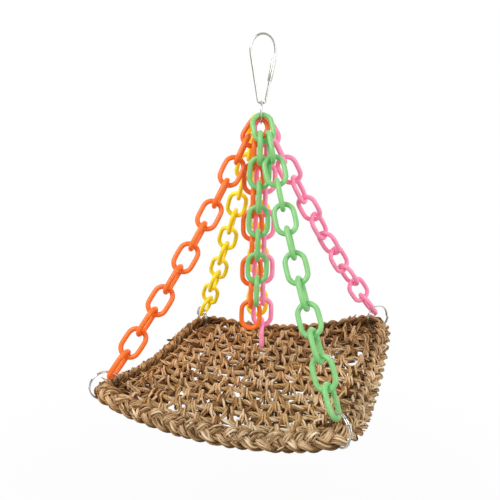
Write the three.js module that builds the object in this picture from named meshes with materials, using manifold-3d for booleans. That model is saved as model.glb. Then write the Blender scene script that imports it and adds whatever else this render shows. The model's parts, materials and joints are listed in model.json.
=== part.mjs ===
// Grass mat bird toy: a woven seagrass mat hung by its corners on four coloured plastic chains.
// The chains meet on a small ring under a pear-shaped wire link, and each colour also has a dangling chain.
// Millimetres, +Z up. The origin is the inside of the pear link's crown, where it bears on a cage bar.
// X runs along the mat's front edge and Y towards its back edge.
import * as THREE from "three";
import { mergeVertices } from "three/addons/utils/BufferGeometryUtils.js";
import Module from "manifold-3d";

const wasm = await Module();
wasm.setup();

// Gap left between pieces that touch on the real toy
const CLEARANCE = 0.3;

// Pear link: a bent wire with one open leg, closed by a sliding sleeve
const PEAR_WIRE = 2;
const PEAR_HEIGHT = 59;
const PEAR_WIDTH = 23.2;
const PEAR_CROWN = 13.5;
const PEAR_FOOT_WIDTH = 8.7;
const PEAR_FOOT_RADIUS = 2.4;
const PEAR_TURN = THREE.MathUtils.degToRad(18);
const SLEEVE_LENGTH = 18.6;
const SLEEVE_DIAMETER = 4.2;
const SLEEVE_CHAMFER = 0.4;
const SLEEVE_BELOW_CROWN = 4;
const SLEEVE_LAP = 2;
const GATE_OPENING = 7;

// Ring that hangs on the pear link's foot and carries the four top links
const TOP_RING_DIAMETER = 21;
const TOP_RING_WIRE = 1.6;

// Chain link: a round-ended loop whose opening takes two wires side by side with a little play.
// The wire is about a seventh as thick as the link is long.
const LINK_LENGTH = 30.2;
const LINK_WIRE_SHARE = 0.15;
const LINK_WIRE = LINK_LENGTH * LINK_WIRE_SHARE;
const LINK_PLAY = 1;
const LINK_FUSE = 0.2;

// Corner chains are bowed by their own weight.
const CHAIN_BOW = THREE.MathUtils.degToRad(1);

// Top links lie against each other on the ring, the outer pair tilted more.
// Two crowns lie side by side in the lower bend of each, also of the one that leans the most.
const MOST_LEAN = THREE.MathUtils.degToRad(32);
const INNER_TILT = THREE.MathUtils.degToRad(7);
const OUTER_TILT = THREE.MathUtils.degToRad(29);
const CROWN_GAP = 0.6;
const CROWN_PLAY = 0.28;

// Split rings through the mat's corners
const SPLIT_RING_DIAMETER = 26;
const SPLIT_RING_WIRE = 1.2;
const SPLIT_RING_TURNS = 2;
const SPLIT_RING_GAP = 0.4;
const SPLIT_RING_PLAY = 0.9;

// Mat: a net of cord rows inside a plaited border, sagging between its four corners
const MAT_SIZE = 234;
const MAT_SQUARENESS = 8;
const MAT_EDGE_SAG = 13;
const MAT_DISH = 4;
const BORDER_WIDTH = 16;
const BORDER_THICKNESS = 13;
const NET_THICKNESS = 5;
const CORD_ROWS = 11;
const GAP_COLUMNS = 11;
const GAP_LENGTH = 9;
const GAP_WIDTH = 3.2;

// Facets
const LINK_SIDES = 6;
const LINK_BEND_STEPS = 4;
const WIRE_SIDES = 8;
const CROWN_STEPS = 14;
const FOOT_STEPS = 4;
const RING_STEPS = 24;
const RING_SIDES = 6;
const SPLIT_STEPS = 16;
const SLEEVE_SIDES = 12;
const BORDER_STEPS = 64;
const BORDER_SIDES = 8;
const BORDER_CORNER_CROWDING = 0.7;

// How far the moving pieces go
const RING_SWING = 45;
const MAT_SWING = 12;
const DANGLE_BEND = 14;

// One row for each colour, from the front of the top ring to its back.
// corner says where the mat corner lies. side and lean say to which side the top link leans, and how far.
// twist is the turn from one link of the corner chain to the next, in degrees like lean.
// runs counts the links of the corner chain, which are joined at their crowns in three runs.
// The pink chain is threaded one link shorter, so its corner of the mat hangs higher.
const CHAINS = [
  { name: "green", colour: 0x72d27c, corner: [1, -1], side: 1, lean: 12, twist: 93, runs: [4, 4, 3] },
  { name: "orange", colour: 0xff6a24, corner: [-1, -1], side: -1, lean: 32, twist: 91, runs: [4, 4, 3] },
  { name: "pink", colour: 0xf5709c, corner: [1, 1], side: 1, lean: 32, twist: 98, runs: [4, 3, 3] },
  { name: "yellow", colour: 0xe8b81a, corner: [-1, 1], side: -1, lean: 12, twist: 93, runs: [4, 4, 3] },
];
const RUN_NAMES = ["upper", "middle", "lower"];

// The free chain of each colour: its links, and the heading that it swings out on, in degrees from X
const DANGLES = {
  green: { links: 7, heading: -78 },
  orange: { links: 8, heading: 159 },
  pink: { links: 9, heading: -16 },
  yellow: { links: 8, heading: 101 },
};

const nickel = new THREE.MeshStandardMaterial({ color: 0xc9c7c0, roughness: 0.25, metalness: 1 });
const seagrass = new THREE.MeshStandardMaterial({ color: 0xa27d52, roughness: 0.85, metalness: 0 });
const plaited = new THREE.MeshStandardMaterial({ color: 0x94703f, roughness: 0.85, metalness: 0 });
const plastic = (colour) => new THREE.MeshStandardMaterial({ color: colour, roughness: 0.35, metalness: 0 });

const UP = new THREE.Vector3(0, 0, 1);
const DOWN = new THREE.Vector3(0, 0, -1);
// Across the pear link's face, and square to it
const ACROSS = new THREE.Vector3(Math.cos(PEAR_TURN), Math.sin(PEAR_TURN), 0);
const THROUGH = new THREE.Vector3(-Math.sin(PEAR_TURN), Math.cos(PEAR_TURN), 0);

const radians = THREE.MathUtils.degToRad;
const along = (start, ...steps) =>
  steps.reduce((p, [direction, distance]) => p.addScaledVector(direction, distance), start.clone());
const mix = (a, amountA, b, amountB) => a.clone().multiplyScalar(amountA).addScaledVector(b, amountB);

const toy = new THREE.Group();
toy.userData.joints = [];

function addPiece(name, geometry, material) {
  const mesh = new THREE.Mesh(geometry, material);
  mesh.name = name;
  toy.add(mesh);
  return mesh;
}

// A closed surface from points and triangles, with its faces turned outwards
function closedSurface(points, triangles) {
  const volume = triangles.reduce((sum, [a, b, c]) => {
    const normal = new THREE.Vector3().crossVectors(points[b], points[c]);
    return sum + points[a].dot(normal);
  }, 0);
  const faces = volume < 0 ? triangles.map(([a, b, c]) => [a, c, b]) : triangles;
  const geometry = new THREE.BufferGeometry().setFromPoints(points);
  geometry.setIndex(faces.flat());
  return geometry;
}

// A skin over sections with the same number of points, either closed on itself or capped at both ends
function loft(sections, closed) {
  const sides = sections[0].length;
  const points = sections.flat();
  const triangles = [];
  const spans = closed ? sections.length : sections.length - 1;
  for (let i = 0; i < spans; i++) {
    const here = i * sides;
    const there = ((i + 1) % sections.length) * sides;
    for (let j = 0; j < sides; j++) {
      const k = (j + 1) % sides;
      triangles.push([here + j, here + k, there + k], [here + j, there + k, there + j]);
    }
  }
  if (!closed) {
    const last = (sections.length - 1) * sides;
    for (let j = 1; j < sides - 1; j++) {
      triangles.push([0, j + 1, j], [last, last + j, last + j + 1]);
    }
  }
  return closedSurface(points, triangles);
}

// An oval section in the plane of two directions
function section(centre, directionA, radiusA, directionB, radiusB, sides) {
  const points = [];
  for (let j = 0; j < sides; j++) {
    const angle = (j / sides) * 2 * Math.PI;
    points.push(
      along(centre, [directionA, radiusA * Math.cos(angle)], [directionB, radiusB * Math.sin(angle)]),
    );
  }
  return points;
}

// A round wire through the points of a flat path, each with its outward direction in the path's plane
function flatWire(stations, planeNormal, wire, sides, closed) {
  const sections = stations.map(({ point, outward }) =>
    section(point, outward, wire / 2, planeNormal, wire / 2, sides),
  );
  return loft(sections, closed);
}

function toSolid(geometry) {
  const bare = geometry.clone();
  bare.deleteAttribute("normal");
  bare.deleteAttribute("uv");
  const merged = mergeVertices(bare, 1e-4);
  return new wasm.Manifold(
    new wasm.Mesh({
      numProp: 3,
      vertProperties: new Float32Array(merged.attributes.position.array),
      triVerts: new Uint32Array(merged.index.array),
    }),
  );
}

function toGeometry(solid) {
  const mesh = solid.getMesh();
  const geometry = new THREE.BufferGeometry();
  geometry.setAttribute("position", new THREE.BufferAttribute(new Float32Array(mesh.vertProperties), 3));
  geometry.setIndex(new THREE.BufferAttribute(new Uint32Array(mesh.triVerts), 1));
  return geometry;
}

const joinAll = (geometries) =>
  toGeometry(geometries.map(toSolid).reduce((whole, next) => whole.add(next)));

// Pear link. Its leg runs straight from the crown's ellipse to the foot's small corner arc.
const pearTop = PEAR_WIRE / 2;
const pearFoot = pearTop - (PEAR_HEIGHT - PEAR_WIRE);
const crownHalf = (PEAR_WIDTH - PEAR_WIRE) / 2;
const crownCentre = pearTop - PEAR_CROWN;
const footCentre = new THREE.Vector2(
  (PEAR_FOOT_WIDTH - PEAR_WIRE) / 2 - PEAR_FOOT_RADIUS,
  pearFoot + PEAR_FOOT_RADIUS,
);

function pearLeg() {
  const slopeRounds = 40;
  let slope = 0;
  let crownEnd;
  let footEnd;
  let overrun;
  for (let i = 0; i < slopeRounds; i++) {
    overrun = Math.atan((PEAR_CROWN * Math.tan(slope)) / crownHalf);
    crownEnd = new THREE.Vector2(crownHalf * Math.cos(overrun), crownCentre - PEAR_CROWN * Math.sin(overrun));
    footEnd = new THREE.Vector2(
      footCentre.x + PEAR_FOOT_RADIUS * Math.cos(slope),
      footCentre.y - PEAR_FOOT_RADIUS * Math.sin(slope),
    );
    slope = Math.atan2(crownEnd.x - footEnd.x, crownEnd.y - footEnd.y);
  }
  return { slope, overrun, crownEnd, footEnd };
}

const leg = pearLeg();
const legDown = new THREE.Vector2(-Math.sin(leg.slope), -Math.cos(leg.slope));
const onPear = (x, z) => along(new THREE.Vector3(), [ACROSS, x], [UP, z]);
const legPoint = (distance) => leg.crownEnd.clone().addScaledVector(legDown, distance);

function makePearWire() {
  const stations = [];
  const put = (x, z, outX, outZ) => {
    const outward = mix(ACROSS, outX, UP, outZ).normalize();
    stations.push({ point: onPear(x, z), outward });
  };
  const legOut = [Math.cos(leg.slope), -Math.sin(leg.slope)];
  const upperEnd = legPoint(SLEEVE_BELOW_CROWN + SLEEVE_LAP);
  const lowerEnd = legPoint(SLEEVE_BELOW_CROWN + SLEEVE_LAP + GATE_OPENING);
  put(upperEnd.x, upperEnd.y, ...legOut);
  for (let i = 0; i <= CROWN_STEPS; i++) {
    const angle = -leg.overrun + (i / CROWN_STEPS) * (Math.PI + 2 * leg.overrun);
    const x = crownHalf * Math.cos(angle);
    const rise = PEAR_CROWN * Math.sin(angle);
    put(x, crownCentre + rise, Math.cos(angle) / crownHalf, Math.sin(angle) / PEAR_CROWN);
  }
  for (const side of [-1, 1]) {
    for (let i = 0; i <= FOOT_STEPS; i++) {
      const share = side < 0 ? i / FOOT_STEPS : 1 - i / FOOT_STEPS;
      const angle = -leg.slope - share * (Math.PI / 2 - leg.slope);
      const out = [side * Math.cos(angle), Math.sin(angle)];
      put(side * footCentre.x + PEAR_FOOT_RADIUS * out[0], footCentre.y + PEAR_FOOT_RADIUS * out[1], ...out);
    }
  }
  put(lowerEnd.x, lowerEnd.y, ...legOut);
  return flatWire(stations, THROUGH, PEAR_WIRE, WIRE_SIDES, false);
}

function makeSleeve() {
  const bore = PEAR_WIRE / 2 + CLEARANCE;
  const outer = SLEEVE_DIAMETER / 2;
  const profile = [
    new THREE.Vector2(bore, 0),
    new THREE.Vector2(outer - SLEEVE_CHAMFER, 0),
    new THREE.Vector2(outer, SLEEVE_CHAMFER),
    new THREE.Vector2(outer, SLEEVE_LENGTH - SLEEVE_CHAMFER),
    new THREE.Vector2(outer - SLEEVE_CHAMFER, SLEEVE_LENGTH),
    new THREE.Vector2(bore, SLEEVE_LENGTH),
    new THREE.Vector2(bore, 0),
  ];
  return new THREE.LatheGeometry(profile, SLEEVE_SIDES);
}

addPiece("pear_link_wire", makePearWire(), nickel);
const sleeve = addPiece("gate_sleeve", makeSleeve(), nickel);
const sleeveFoot = legPoint(SLEEVE_BELOW_CROWN + SLEEVE_LENGTH);
const legUp = mix(ACROSS, -legDown.x, UP, -legDown.y);
sleeve.position.copy(onPear(sleeveFoot.x, sleeveFoot.y));
sleeve.quaternion.setFromUnitVectors(new THREE.Vector3(0, 1, 0), legUp);
toy.userData.joints.push({
  name: "gate_slide",
  nodes: ["gate_sleeve"],
  parent: "pear_link",
  child: "gate",
  axis: legUp.clone().negate(),
  range: [0, SLEEVE_LAP + GATE_OPENING],
});

// Top ring, square to the pear link, with its wire over the pear link's foot
const ringRadius = (TOP_RING_DIAMETER - TOP_RING_WIRE) / 2;
const footWire = new THREE.Vector3(0, 0, pearFoot);
const ringTop = pearFoot + (PEAR_WIRE + TOP_RING_WIRE) / 2 + CLEARANCE;
const ringCentre = new THREE.Vector3(0, 0, ringTop - ringRadius);

function makeTopRing() {
  const stations = [];
  for (let i = 0; i < RING_STEPS; i++) {
    const angle = (i / RING_STEPS) * 2 * Math.PI;
    const outward = mix(THROUGH, Math.cos(angle), UP, Math.sin(angle));
    stations.push({ point: along(ringCentre, [outward, ringRadius]), outward });
  }
  return flatWire(stations, ACROSS, TOP_RING_WIRE, RING_SIDES, true);
}

addPiece("top_ring", makeTopRing(), nickel);
toy.userData.joints.push({
  name: "ring_swing",
  nodes: ["top_ring"],
  parent: "pear_link",
  child: "ring",
  pos: footWire,
  axis: ACROSS,
  range: [-RING_SWING, RING_SWING],
});

// Chain link, modelled once about its own middle: Y down its length, X across its opening
const wireSpacing = LINK_WIRE + CLEARANCE;
const crownAside = (LINK_WIRE + CROWN_GAP) / 2 / Math.cos(MOST_LEAN);
const linkOpening = 2 * (crownAside + LINK_WIRE / 2 + CLEARANCE) + LINK_PLAY;
const linkWidth = linkOpening + 2 * LINK_WIRE;
const bendRadius = (linkWidth - LINK_WIRE) / 2;
const crownToCrown = LINK_LENGTH - LINK_WIRE;
const linkStraight = crownToCrown - 2 * bendRadius;

function makeLink() {
  const stations = [];
  for (const end of [1, -1]) {
    for (let i = 0; i <= LINK_BEND_STEPS; i++) {
      const angle = (i / LINK_BEND_STEPS) * Math.PI;
      const outward = new THREE.Vector3(end * Math.cos(angle), end * Math.sin(angle), 0);
      const middle = new THREE.Vector3(0, (end * linkStraight) / 2, 0);
      stations.push({ point: along(middle, [outward, bendRadius]), outward });
    }
  }
  return flatWire(stations, UP, LINK_WIRE, LINK_SIDES, true);
}

const linkGeometry = makeLink();

// The placement of a link that hangs from its top crown along one direction, opened across another
function linkPlace(crown, direction, across) {
  const lateral = across.clone().addScaledVector(direction, -across.dot(direction)).normalize();
  const normal = new THREE.Vector3().crossVectors(lateral, direction);
  const middle = along(crown, [direction, crownToCrown / 2]);
  return new THREE.Matrix4().makeBasis(lateral, direction, normal).setPosition(middle);
}

function addLink(name, place, material) {
  const mesh = addPiece(name, linkGeometry, material);
  mesh.applyMatrix4(place);
  return mesh;
}

// Mat outline: a superellipse, so that the sides bulge a little and the corners are round
const borderHalf = (MAT_SIZE - BORDER_WIDTH) / 2;
const netHalf = borderHalf - BORDER_WIDTH / 2 - CLEARANCE;
const cornerReach = borderHalf * 2 ** (-1 / MAT_SQUARENESS);

function roundness(angle) {
  const power = MAT_SQUARENESS;
  return (Math.abs(Math.cos(angle)) ** power + Math.abs(Math.sin(angle)) ** power) ** (-1 / power);
}

// The split ring stands with the border lying in its lower bend
const splitRadius = (SPLIT_RING_DIAMETER - SPLIT_RING_WIRE) / 2;
const splitPitch = SPLIT_RING_WIRE + SPLIT_RING_GAP;
const splitHalfWidth = (splitPitch * SPLIT_RING_TURNS) / 2;
const borderInRing = SPLIT_RING_DIAMETER / 2 - SPLIT_RING_WIRE - 2 * CLEARANCE;
const halfWide = BORDER_WIDTH / 2;
const halfThick = BORDER_THICKNESS / 2;
const splitAboveBorder =
  Math.sqrt((borderInRing ** 2 - halfWide ** 2) * (halfWide ** 2 - halfThick ** 2)) / halfWide;

// The last link's lower bend holds the split ring's turns from inside the ring
const bendInside = bendRadius - LINK_WIRE / 2 - SPLIT_RING_WIRE / 2 - SPLIT_RING_PLAY;
const splitSeat = bendRadius - Math.sqrt(bendInside ** 2 - splitHalfWidth ** 2);
const lastReach = crownToCrown + splitRadius - splitSeat;

// Steps from crown to crown down a corner chain, ending at the split ring's centre
function chainSteps(chain) {
  const steps = [];
  for (const count of chain.runs) {
    for (let i = 1; i < count; i++) {
      steps.push(crownToCrown - LINK_WIRE + LINK_FUSE);
    }
    steps.push(crownToCrown - wireSpacing);
  }
  steps[steps.length - 1] = lastReach;
  return steps;
}

// How far a chain reaches when each link turns by the same bow from the one above it
function chainReach(chain, bow) {
  const reach = new THREE.Vector2();
  chainSteps(chain).forEach((step, i) => {
    reach.x += step * Math.sin(i * bow);
    reach.y += step * Math.cos(i * bow);
  });
  return reach;
}

// Where each top link's plane crosses the ring, seen along ACROSS: x is towards the back, y is up
const ringSeat = (LINK_WIRE + TOP_RING_WIRE) / 2 + CLEARANCE;

function crownAbove(ringPoint, tilt) {
  const ringAngle = Math.atan2(ringPoint.x, -ringPoint.y);
  return ringSeat / Math.cos(ringAngle - tilt);
}

function innerSeat() {
  const seatRounds = 30;
  const point = new THREE.Vector2(0, -ringRadius);
  for (let i = 0; i < seatRounds; i++) {
    const offset = wireSpacing / 2 + crownAbove(point, INNER_TILT) * Math.sin(INNER_TILT);
    point.set(offset, -Math.sqrt(ringRadius ** 2 - offset ** 2));
  }
  return point;
}

function outerSeat(inner) {
  const reach = crownAbove(inner, INNER_TILT);
  const innerCrown = new THREE.Vector2(
    inner.x - reach * Math.sin(INNER_TILT),
    inner.y + reach * Math.cos(INNER_TILT),
  );
  const slope = new THREE.Vector2(Math.sin(OUTER_TILT), -Math.cos(OUTER_TILT));
  const square = new THREE.Vector2(Math.cos(OUTER_TILT), Math.sin(OUTER_TILT));
  const start = innerCrown.addScaledVector(square, wireSpacing);
  const lead = start.dot(slope);
  const travel = -lead + Math.sqrt(lead ** 2 - start.lengthSq() + ringRadius ** 2);
  return start.addScaledVector(slope, travel);
}

const inner = innerSeat();
const outer = outerSeat(inner);
const SEATS = [
  { point: outer, tilt: OUTER_TILT, end: -1 },
  { point: inner, tilt: INNER_TILT, end: -1 },
  { point: inner, tilt: INNER_TILT, end: 1 },
  { point: outer, tilt: OUTER_TILT, end: 1 },
];

// Points down the middle of a link's wire around one bend and up both its legs
function wireLine(bendCentre, towardsBend, across) {
  const bendSteps = 40;
  const legSteps = 12;
  const points = [];
  for (const side of [-1, 1]) {
    for (let i = 1; i <= legSteps; i++) {
      const back = (-linkStraight * i) / legSteps;
      points.push(along(bendCentre, [across, side * bendRadius], [towardsBend, back]));
    }
  }
  for (let i = 0; i <= bendSteps; i++) {
    const angle = (i / bendSteps - 0.5) * Math.PI;
    const [aside, below] = [bendRadius * Math.sin(angle), bendRadius * Math.cos(angle)];
    points.push(along(bendCentre, [across, aside], [towardsBend, below]));
  }
  return points;
}

const nearest = (lineA, lineB) => Math.min(...lineA.flatMap((a) => lineB.map((b) => a.distanceTo(b))));

// A top link, and where a link hung along a given direction has its crown in the lower bend.
// Two crowns lie side by side there, each let down until its wire rests on the bend.
function topLink(chain, seat) {
  const lean = radians(chain.lean);
  const plumb = mix(THROUGH, seat.end * Math.sin(seat.tilt), DOWN, Math.cos(seat.tilt));
  const direction = mix(plumb, Math.cos(lean), ACROSS, chain.side * Math.sin(lean));
  const across = mix(ACROSS, Math.cos(lean), plumb, -chain.side * Math.sin(lean));
  const onRing = along(ringCentre, [THROUGH, seat.end * seat.point.x], [UP, seat.point.y]);
  const crown = along(onRing, [direction, -crownAbove(seat.point, seat.tilt)]);
  const bendCentre = along(crown, [direction, crownToCrown - bendRadius]);
  const normal = new THREE.Vector3().crossVectors(direction, across);
  const bend = wireLine(bendCentre, direction, across);
  const wireBelow = Math.sqrt(bendRadius ** 2 - crownAside ** 2);

  const crownFor = (side, hung) => {
    const halvings = 30;
    const lateral = normal.clone().addScaledVector(hung, -normal.dot(hung)).normalize();
    const carrier = along(bendCentre, [direction, wireBelow], [across, side * crownAside]);
    const crownAt = (below) => {
      const beside = along(bendCentre, [direction, below], [across, side * crownAside]);
      return along(beside, [lateral, carrier.clone().sub(beside).dot(lateral)]);
    };
    let clear = -linkStraight;
    let touching = wireBelow;
    for (let i = 0; i < halvings; i++) {
      const below = (clear + touching) / 2;
      const hungBend = wireLine(along(crownAt(below), [hung, bendRadius]), hung.clone().negate(), lateral);
      if (nearest(bend, hungBend) > wireSpacing + CROWN_PLAY) {
        clear = below;
      } else {
        touching = below;
      }
    }
    return crownAt(clear);
  };
  const towards = new THREE.Vector3(...chain.corner, 0).normalize();
  const slope = Math.asin((cornerReach * Math.SQRT2) / chainReach(chain, CHAIN_BOW).length());
  const pulled = mix(towards, Math.sin(slope), DOWN, Math.cos(slope));
  return {
    place: linkPlace(crown, direction, across),
    normal,
    cornerCrown: crownFor(chain.side, pulled),
    dangleCrown: crownFor(-chain.side, DOWN),
  };
}

const tops = CHAINS.map((chain, i) => topLink(chain, SEATS[i]));
const cornerOf = (chain) => new THREE.Vector3(chain.corner[0] * cornerReach, chain.corner[1] * cornerReach, 0);

// Each split ring hangs where its chain reaches to over the corner of the mat
const splitCentres = CHAINS.map((chain, i) => {
  const crown = tops[i].cornerCrown;
  const corner = cornerOf(chain);
  const span = Math.hypot(corner.x - crown.x, corner.y - crown.y);
  return corner.setZ(crown.z - Math.sqrt(chainReach(chain, CHAIN_BOW).lengthSq() - span ** 2));
});

// Height of the mat's middle surface: it hangs from its four corners and sags between them
function matHeight(x, y) {
  const hung = CHAINS.reduce((sum, chain, i) => {
    const shareX = (1 + (chain.corner[0] * x) / cornerReach) / 2;
    const shareY = (1 + (chain.corner[1] * y) / cornerReach) / 2;
    return sum + shareX * shareY * (splitCentres[i].z - splitAboveBorder);
  }, 0);
  const edge = 1 - (x * y) ** 2 / cornerReach ** 4;
  const dish = (1 - (x / borderHalf) ** 2) * (1 - (y / borderHalf) ** 2);
  return hung - MAT_EDGE_SAG * edge - MAT_DISH * dish;
}

// Corner chain: the crown, direction and opening of each of its links
function cornerChain(chain, top, splitCentre) {
  const start = top.cornerCrown;
  const span = splitCentre.clone().sub(start);
  const heading = new THREE.Vector3(span.x, span.y, 0).normalize();
  const reach = chainReach(chain, CHAIN_BOW);
  const first = Math.atan2(span.dot(heading), -span.z) - Math.atan2(reach.x, reach.y);
  const level = new THREE.Vector3().crossVectors(UP, heading);
  const links = [];
  let crown = start;
  chainSteps(chain).forEach((step, i) => {
    const slope = first + i * CHAIN_BOW;
    const direction = mix(heading, Math.sin(slope), DOWN, Math.cos(slope));
    const upright = new THREE.Vector3().crossVectors(direction, level);
    links.push({ crown, direction, upright });
    crown = along(crown, [direction, step]);
  });
  const twistStart = Math.atan2(top.normal.dot(links[0].upright), top.normal.dot(level));
  links.forEach((link, i) => {
    const angle = twistStart + i * radians(chain.twist);
    link.across = mix(level, Math.cos(angle), link.upright, Math.sin(angle));
  });
  return links;
}

function addCornerChain(chain, top, splitCentre, material) {
  const links = cornerChain(chain, top, splitCentre);
  let next = 0;
  chain.runs.forEach((count, i) => {
    const pieces = links
      .slice(next, next + count)
      .map((link) => linkGeometry.clone().applyMatrix4(linkPlace(link.crown, link.direction, link.across)));
    addPiece(`${chain.name}_chain_${RUN_NAMES[i]}`, joinAll(pieces), material);
    next += count;
  });
}

// Split ring: two turns of wire round the ring's axis, the turns lying side by side
function makeSplitRing(centre, outwards, axis) {
  const sections = [];
  const count = SPLIT_STEPS * SPLIT_RING_TURNS;
  for (let i = 0; i <= count; i++) {
    const turn = i / SPLIT_STEPS;
    const angle = turn * 2 * Math.PI;
    const outward = mix(outwards, Math.cos(angle), UP, Math.sin(angle));
    const advance = turn * splitPitch - splitHalfWidth;
    const point = along(centre, [outward, splitRadius], [axis, advance]);
    sections.push(section(point, outward, SPLIT_RING_WIRE / 2, axis, SPLIT_RING_WIRE / 2, RING_SIDES));
  }
  return loft(sections, false);
}

function addSplitRing(chain, centre) {
  const outwards = new THREE.Vector3(...chain.corner, 0).normalize();
  const axis = new THREE.Vector3().crossVectors(outwards, UP);
  addPiece(`${chain.name}_split_ring`, makeSplitRing(centre, outwards, axis), nickel);
  toy.userData.joints.push({
    name: `${chain.name}_split_ring_turn`,
    nodes: [`${chain.name}_split_ring`],
    parent: "swing",
    child: `${chain.name}_split_ring`,
    pos: centre,
    axis,
    continuous: true,
  });
}

// Dangling chain: single links, each hinged where its crown rests in the link above.
// The first is held still beside the corner chain, because the two crowns fill the top link's bend.
function addDangle(chain, top, material) {
  const pitch = crownToCrown - wireSpacing;
  const dangle = DANGLES[chain.name];
  const heading = radians(dangle.heading);
  const hingeAxis = new THREE.Vector3(Math.sin(heading), -Math.cos(heading), 0);
  for (let i = 0; i < dangle.links; i++) {
    const crown = along(top.dangleCrown, [DOWN, i * pitch]);
    const across = i % 2 === 0 ? THROUGH : ACROSS;
    const name = `${chain.name}_dangle_${i + 1}`;
    addLink(name, linkPlace(crown, DOWN, across), material);
    if (i > 0) {
      toy.userData.joints.push({
        name: `${name}_hinge`,
        nodes: [name],
        parent: i === 1 ? "swing" : `${chain.name}_dangle_${i}`,
        child: name,
        pos: along(crown, [DOWN, wireSpacing / 2]),
        axis: hingeAxis,
        range: [0, DANGLE_BEND],
      });
    }
  }
}

// Mat border: an oval plait carried round the outline, with stations crowded into the corners
function makeBorder() {
  const outline = (angle) => {
    const reach = borderHalf * roundness(angle);
    return new THREE.Vector2(reach * Math.cos(angle), reach * Math.sin(angle));
  };
  const sections = [];
  for (let i = 0; i < BORDER_STEPS; i++) {
    const even = (i / BORDER_STEPS) * 2 * Math.PI;
    const angle = even + (BORDER_CORNER_CROWDING * Math.sin(4 * even)) / 4;
    const { x, y } = outline(angle);
    const power = MAT_SQUARENESS - 1;
    const outward = new THREE.Vector3(Math.sign(x) * Math.abs(x) ** power, Math.sign(y) * Math.abs(y) ** power, 0);
    outward.normalize();
    const centre = new THREE.Vector3(x, y, matHeight(x, y));
    sections.push(section(centre, outward, halfWide, UP, halfThick, BORDER_SIDES));
  }
  return loft(sections, true);
}

// Lines of the net across one direction, with a bar at both ends and a gap between each two bars
function netLines(gapCount, gapSize) {
  const bar = (2 * netHalf - gapCount * gapSize) / (gapCount + 1);
  const lines = [];
  let at = -netHalf;
  for (let i = 0; i <= gapCount; i++) {
    lines.push(at, at + bar);
    at += bar + gapSize;
  }
  return lines;
}

// Mat net: cord rows with staggered gaps between them, open at the corners for the split rings
function makeNet() {
  const acrossLines = netLines(GAP_COLUMNS, GAP_LENGTH);
  const alongLines = netLines(CORD_ROWS - 1, GAP_WIDTH);
  const columns = acrossLines.length - 1;
  const rows = alongLines.length - 1;
  const isSolid = (i, j) => {
    if (i < 0 || j < 0 || i >= columns || j >= rows) {
      return false;
    }
    const fromSide = Math.min(i, columns - 1 - i);
    const fromEnd = Math.min(j, rows - 1 - j);
    const atCorner = fromSide === 0 && fromEnd === 0;
    const besideCorner = fromSide < 2 && fromEnd < 2;
    const inGap = i % 2 === 1 && j % 2 === 1 && (i + j) % 4 === 0;
    return !atCorner && !(inGap && !besideCorner);
  };
  const points = [];
  const numbers = new Map();
  const corner = (i, j, side) => {
    const key = `${i} ${j} ${side}`;
    if (!numbers.has(key)) {
      const u = acrossLines[i];
      const v = alongLines[j];
      const squeeze = roundness(Math.atan2(v, u)) * (Math.max(Math.abs(u), Math.abs(v)) / Math.hypot(u, v));
      const x = u * squeeze;
      const y = v * squeeze;
      numbers.set(key, points.length);
      points.push(new THREE.Vector3(x, y, matHeight(x, y) + (side * NET_THICKNESS) / 2));
    }
    return numbers.get(key);
  };
  const triangles = [];
  const quad = (a, b, c, d) => triangles.push([a, b, c], [a, c, d]);
  const wall = (i, j, k, l) => quad(corner(i, j, -1), corner(k, l, -1), corner(k, l, 1), corner(i, j, 1));
  for (let i = 0; i < columns; i++) {
    for (let j = 0; j < rows; j++) {
      if (!isSolid(i, j)) {
        continue;
      }
      quad(corner(i, j, 1), corner(i + 1, j, 1), corner(i + 1, j + 1, 1), corner(i, j + 1, 1));
      quad(corner(i, j, -1), corner(i, j + 1, -1), corner(i + 1, j + 1, -1), corner(i + 1, j, -1));
      if (!isSolid(i, j - 1)) {
        wall(i, j, i + 1, j);
      }
      if (!isSolid(i + 1, j)) {
        wall(i + 1, j, i + 1, j + 1);
      }
      if (!isSolid(i, j + 1)) {
        wall(i + 1, j + 1, i, j + 1);
      }
      if (!isSolid(i - 1, j)) {
        wall(i, j + 1, i, j);
      }
    }
  }
  return closedSurface(points, triangles);
}

toy.userData.joints.push({
  name: "mat_swing",
  nodes: ["mat_net", "mat_border"],
  parent: "ring",
  child: "swing",
  pos: along(ringCentre, [UP, (inner.y + outer.y) / 2]),
  axis: THROUGH,
  range: [-MAT_SWING, MAT_SWING],
});
CHAINS.forEach((chain, i) => {
  const material = plastic(chain.colour);
  addLink(`${chain.name}_top_link`, tops[i].place, material);
  addCornerChain(chain, tops[i], splitCentres[i], material);
  addSplitRing(chain, splitCentres[i]);
  addDangle(chain, tops[i], material);
});
addPiece("mat_border", makeBorder(), plaited);
addPiece("mat_net", makeNet(), seagrass);

export default toy;
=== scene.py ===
# %% [markdown]
# # Grass mat bird toy
# A woven seagrass mat hangs by its corners on four coloured plastic chains. The chains meet on a small
# ring under a pear-shaped wire link, and the rest of each chain dangles over the mat.
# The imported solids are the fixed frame. Every piece below is a finer version of one of them, and it lies in
# the same place.

import json
import math

import bpy
import numpy as np
from mathutils import Matrix, Vector


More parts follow.
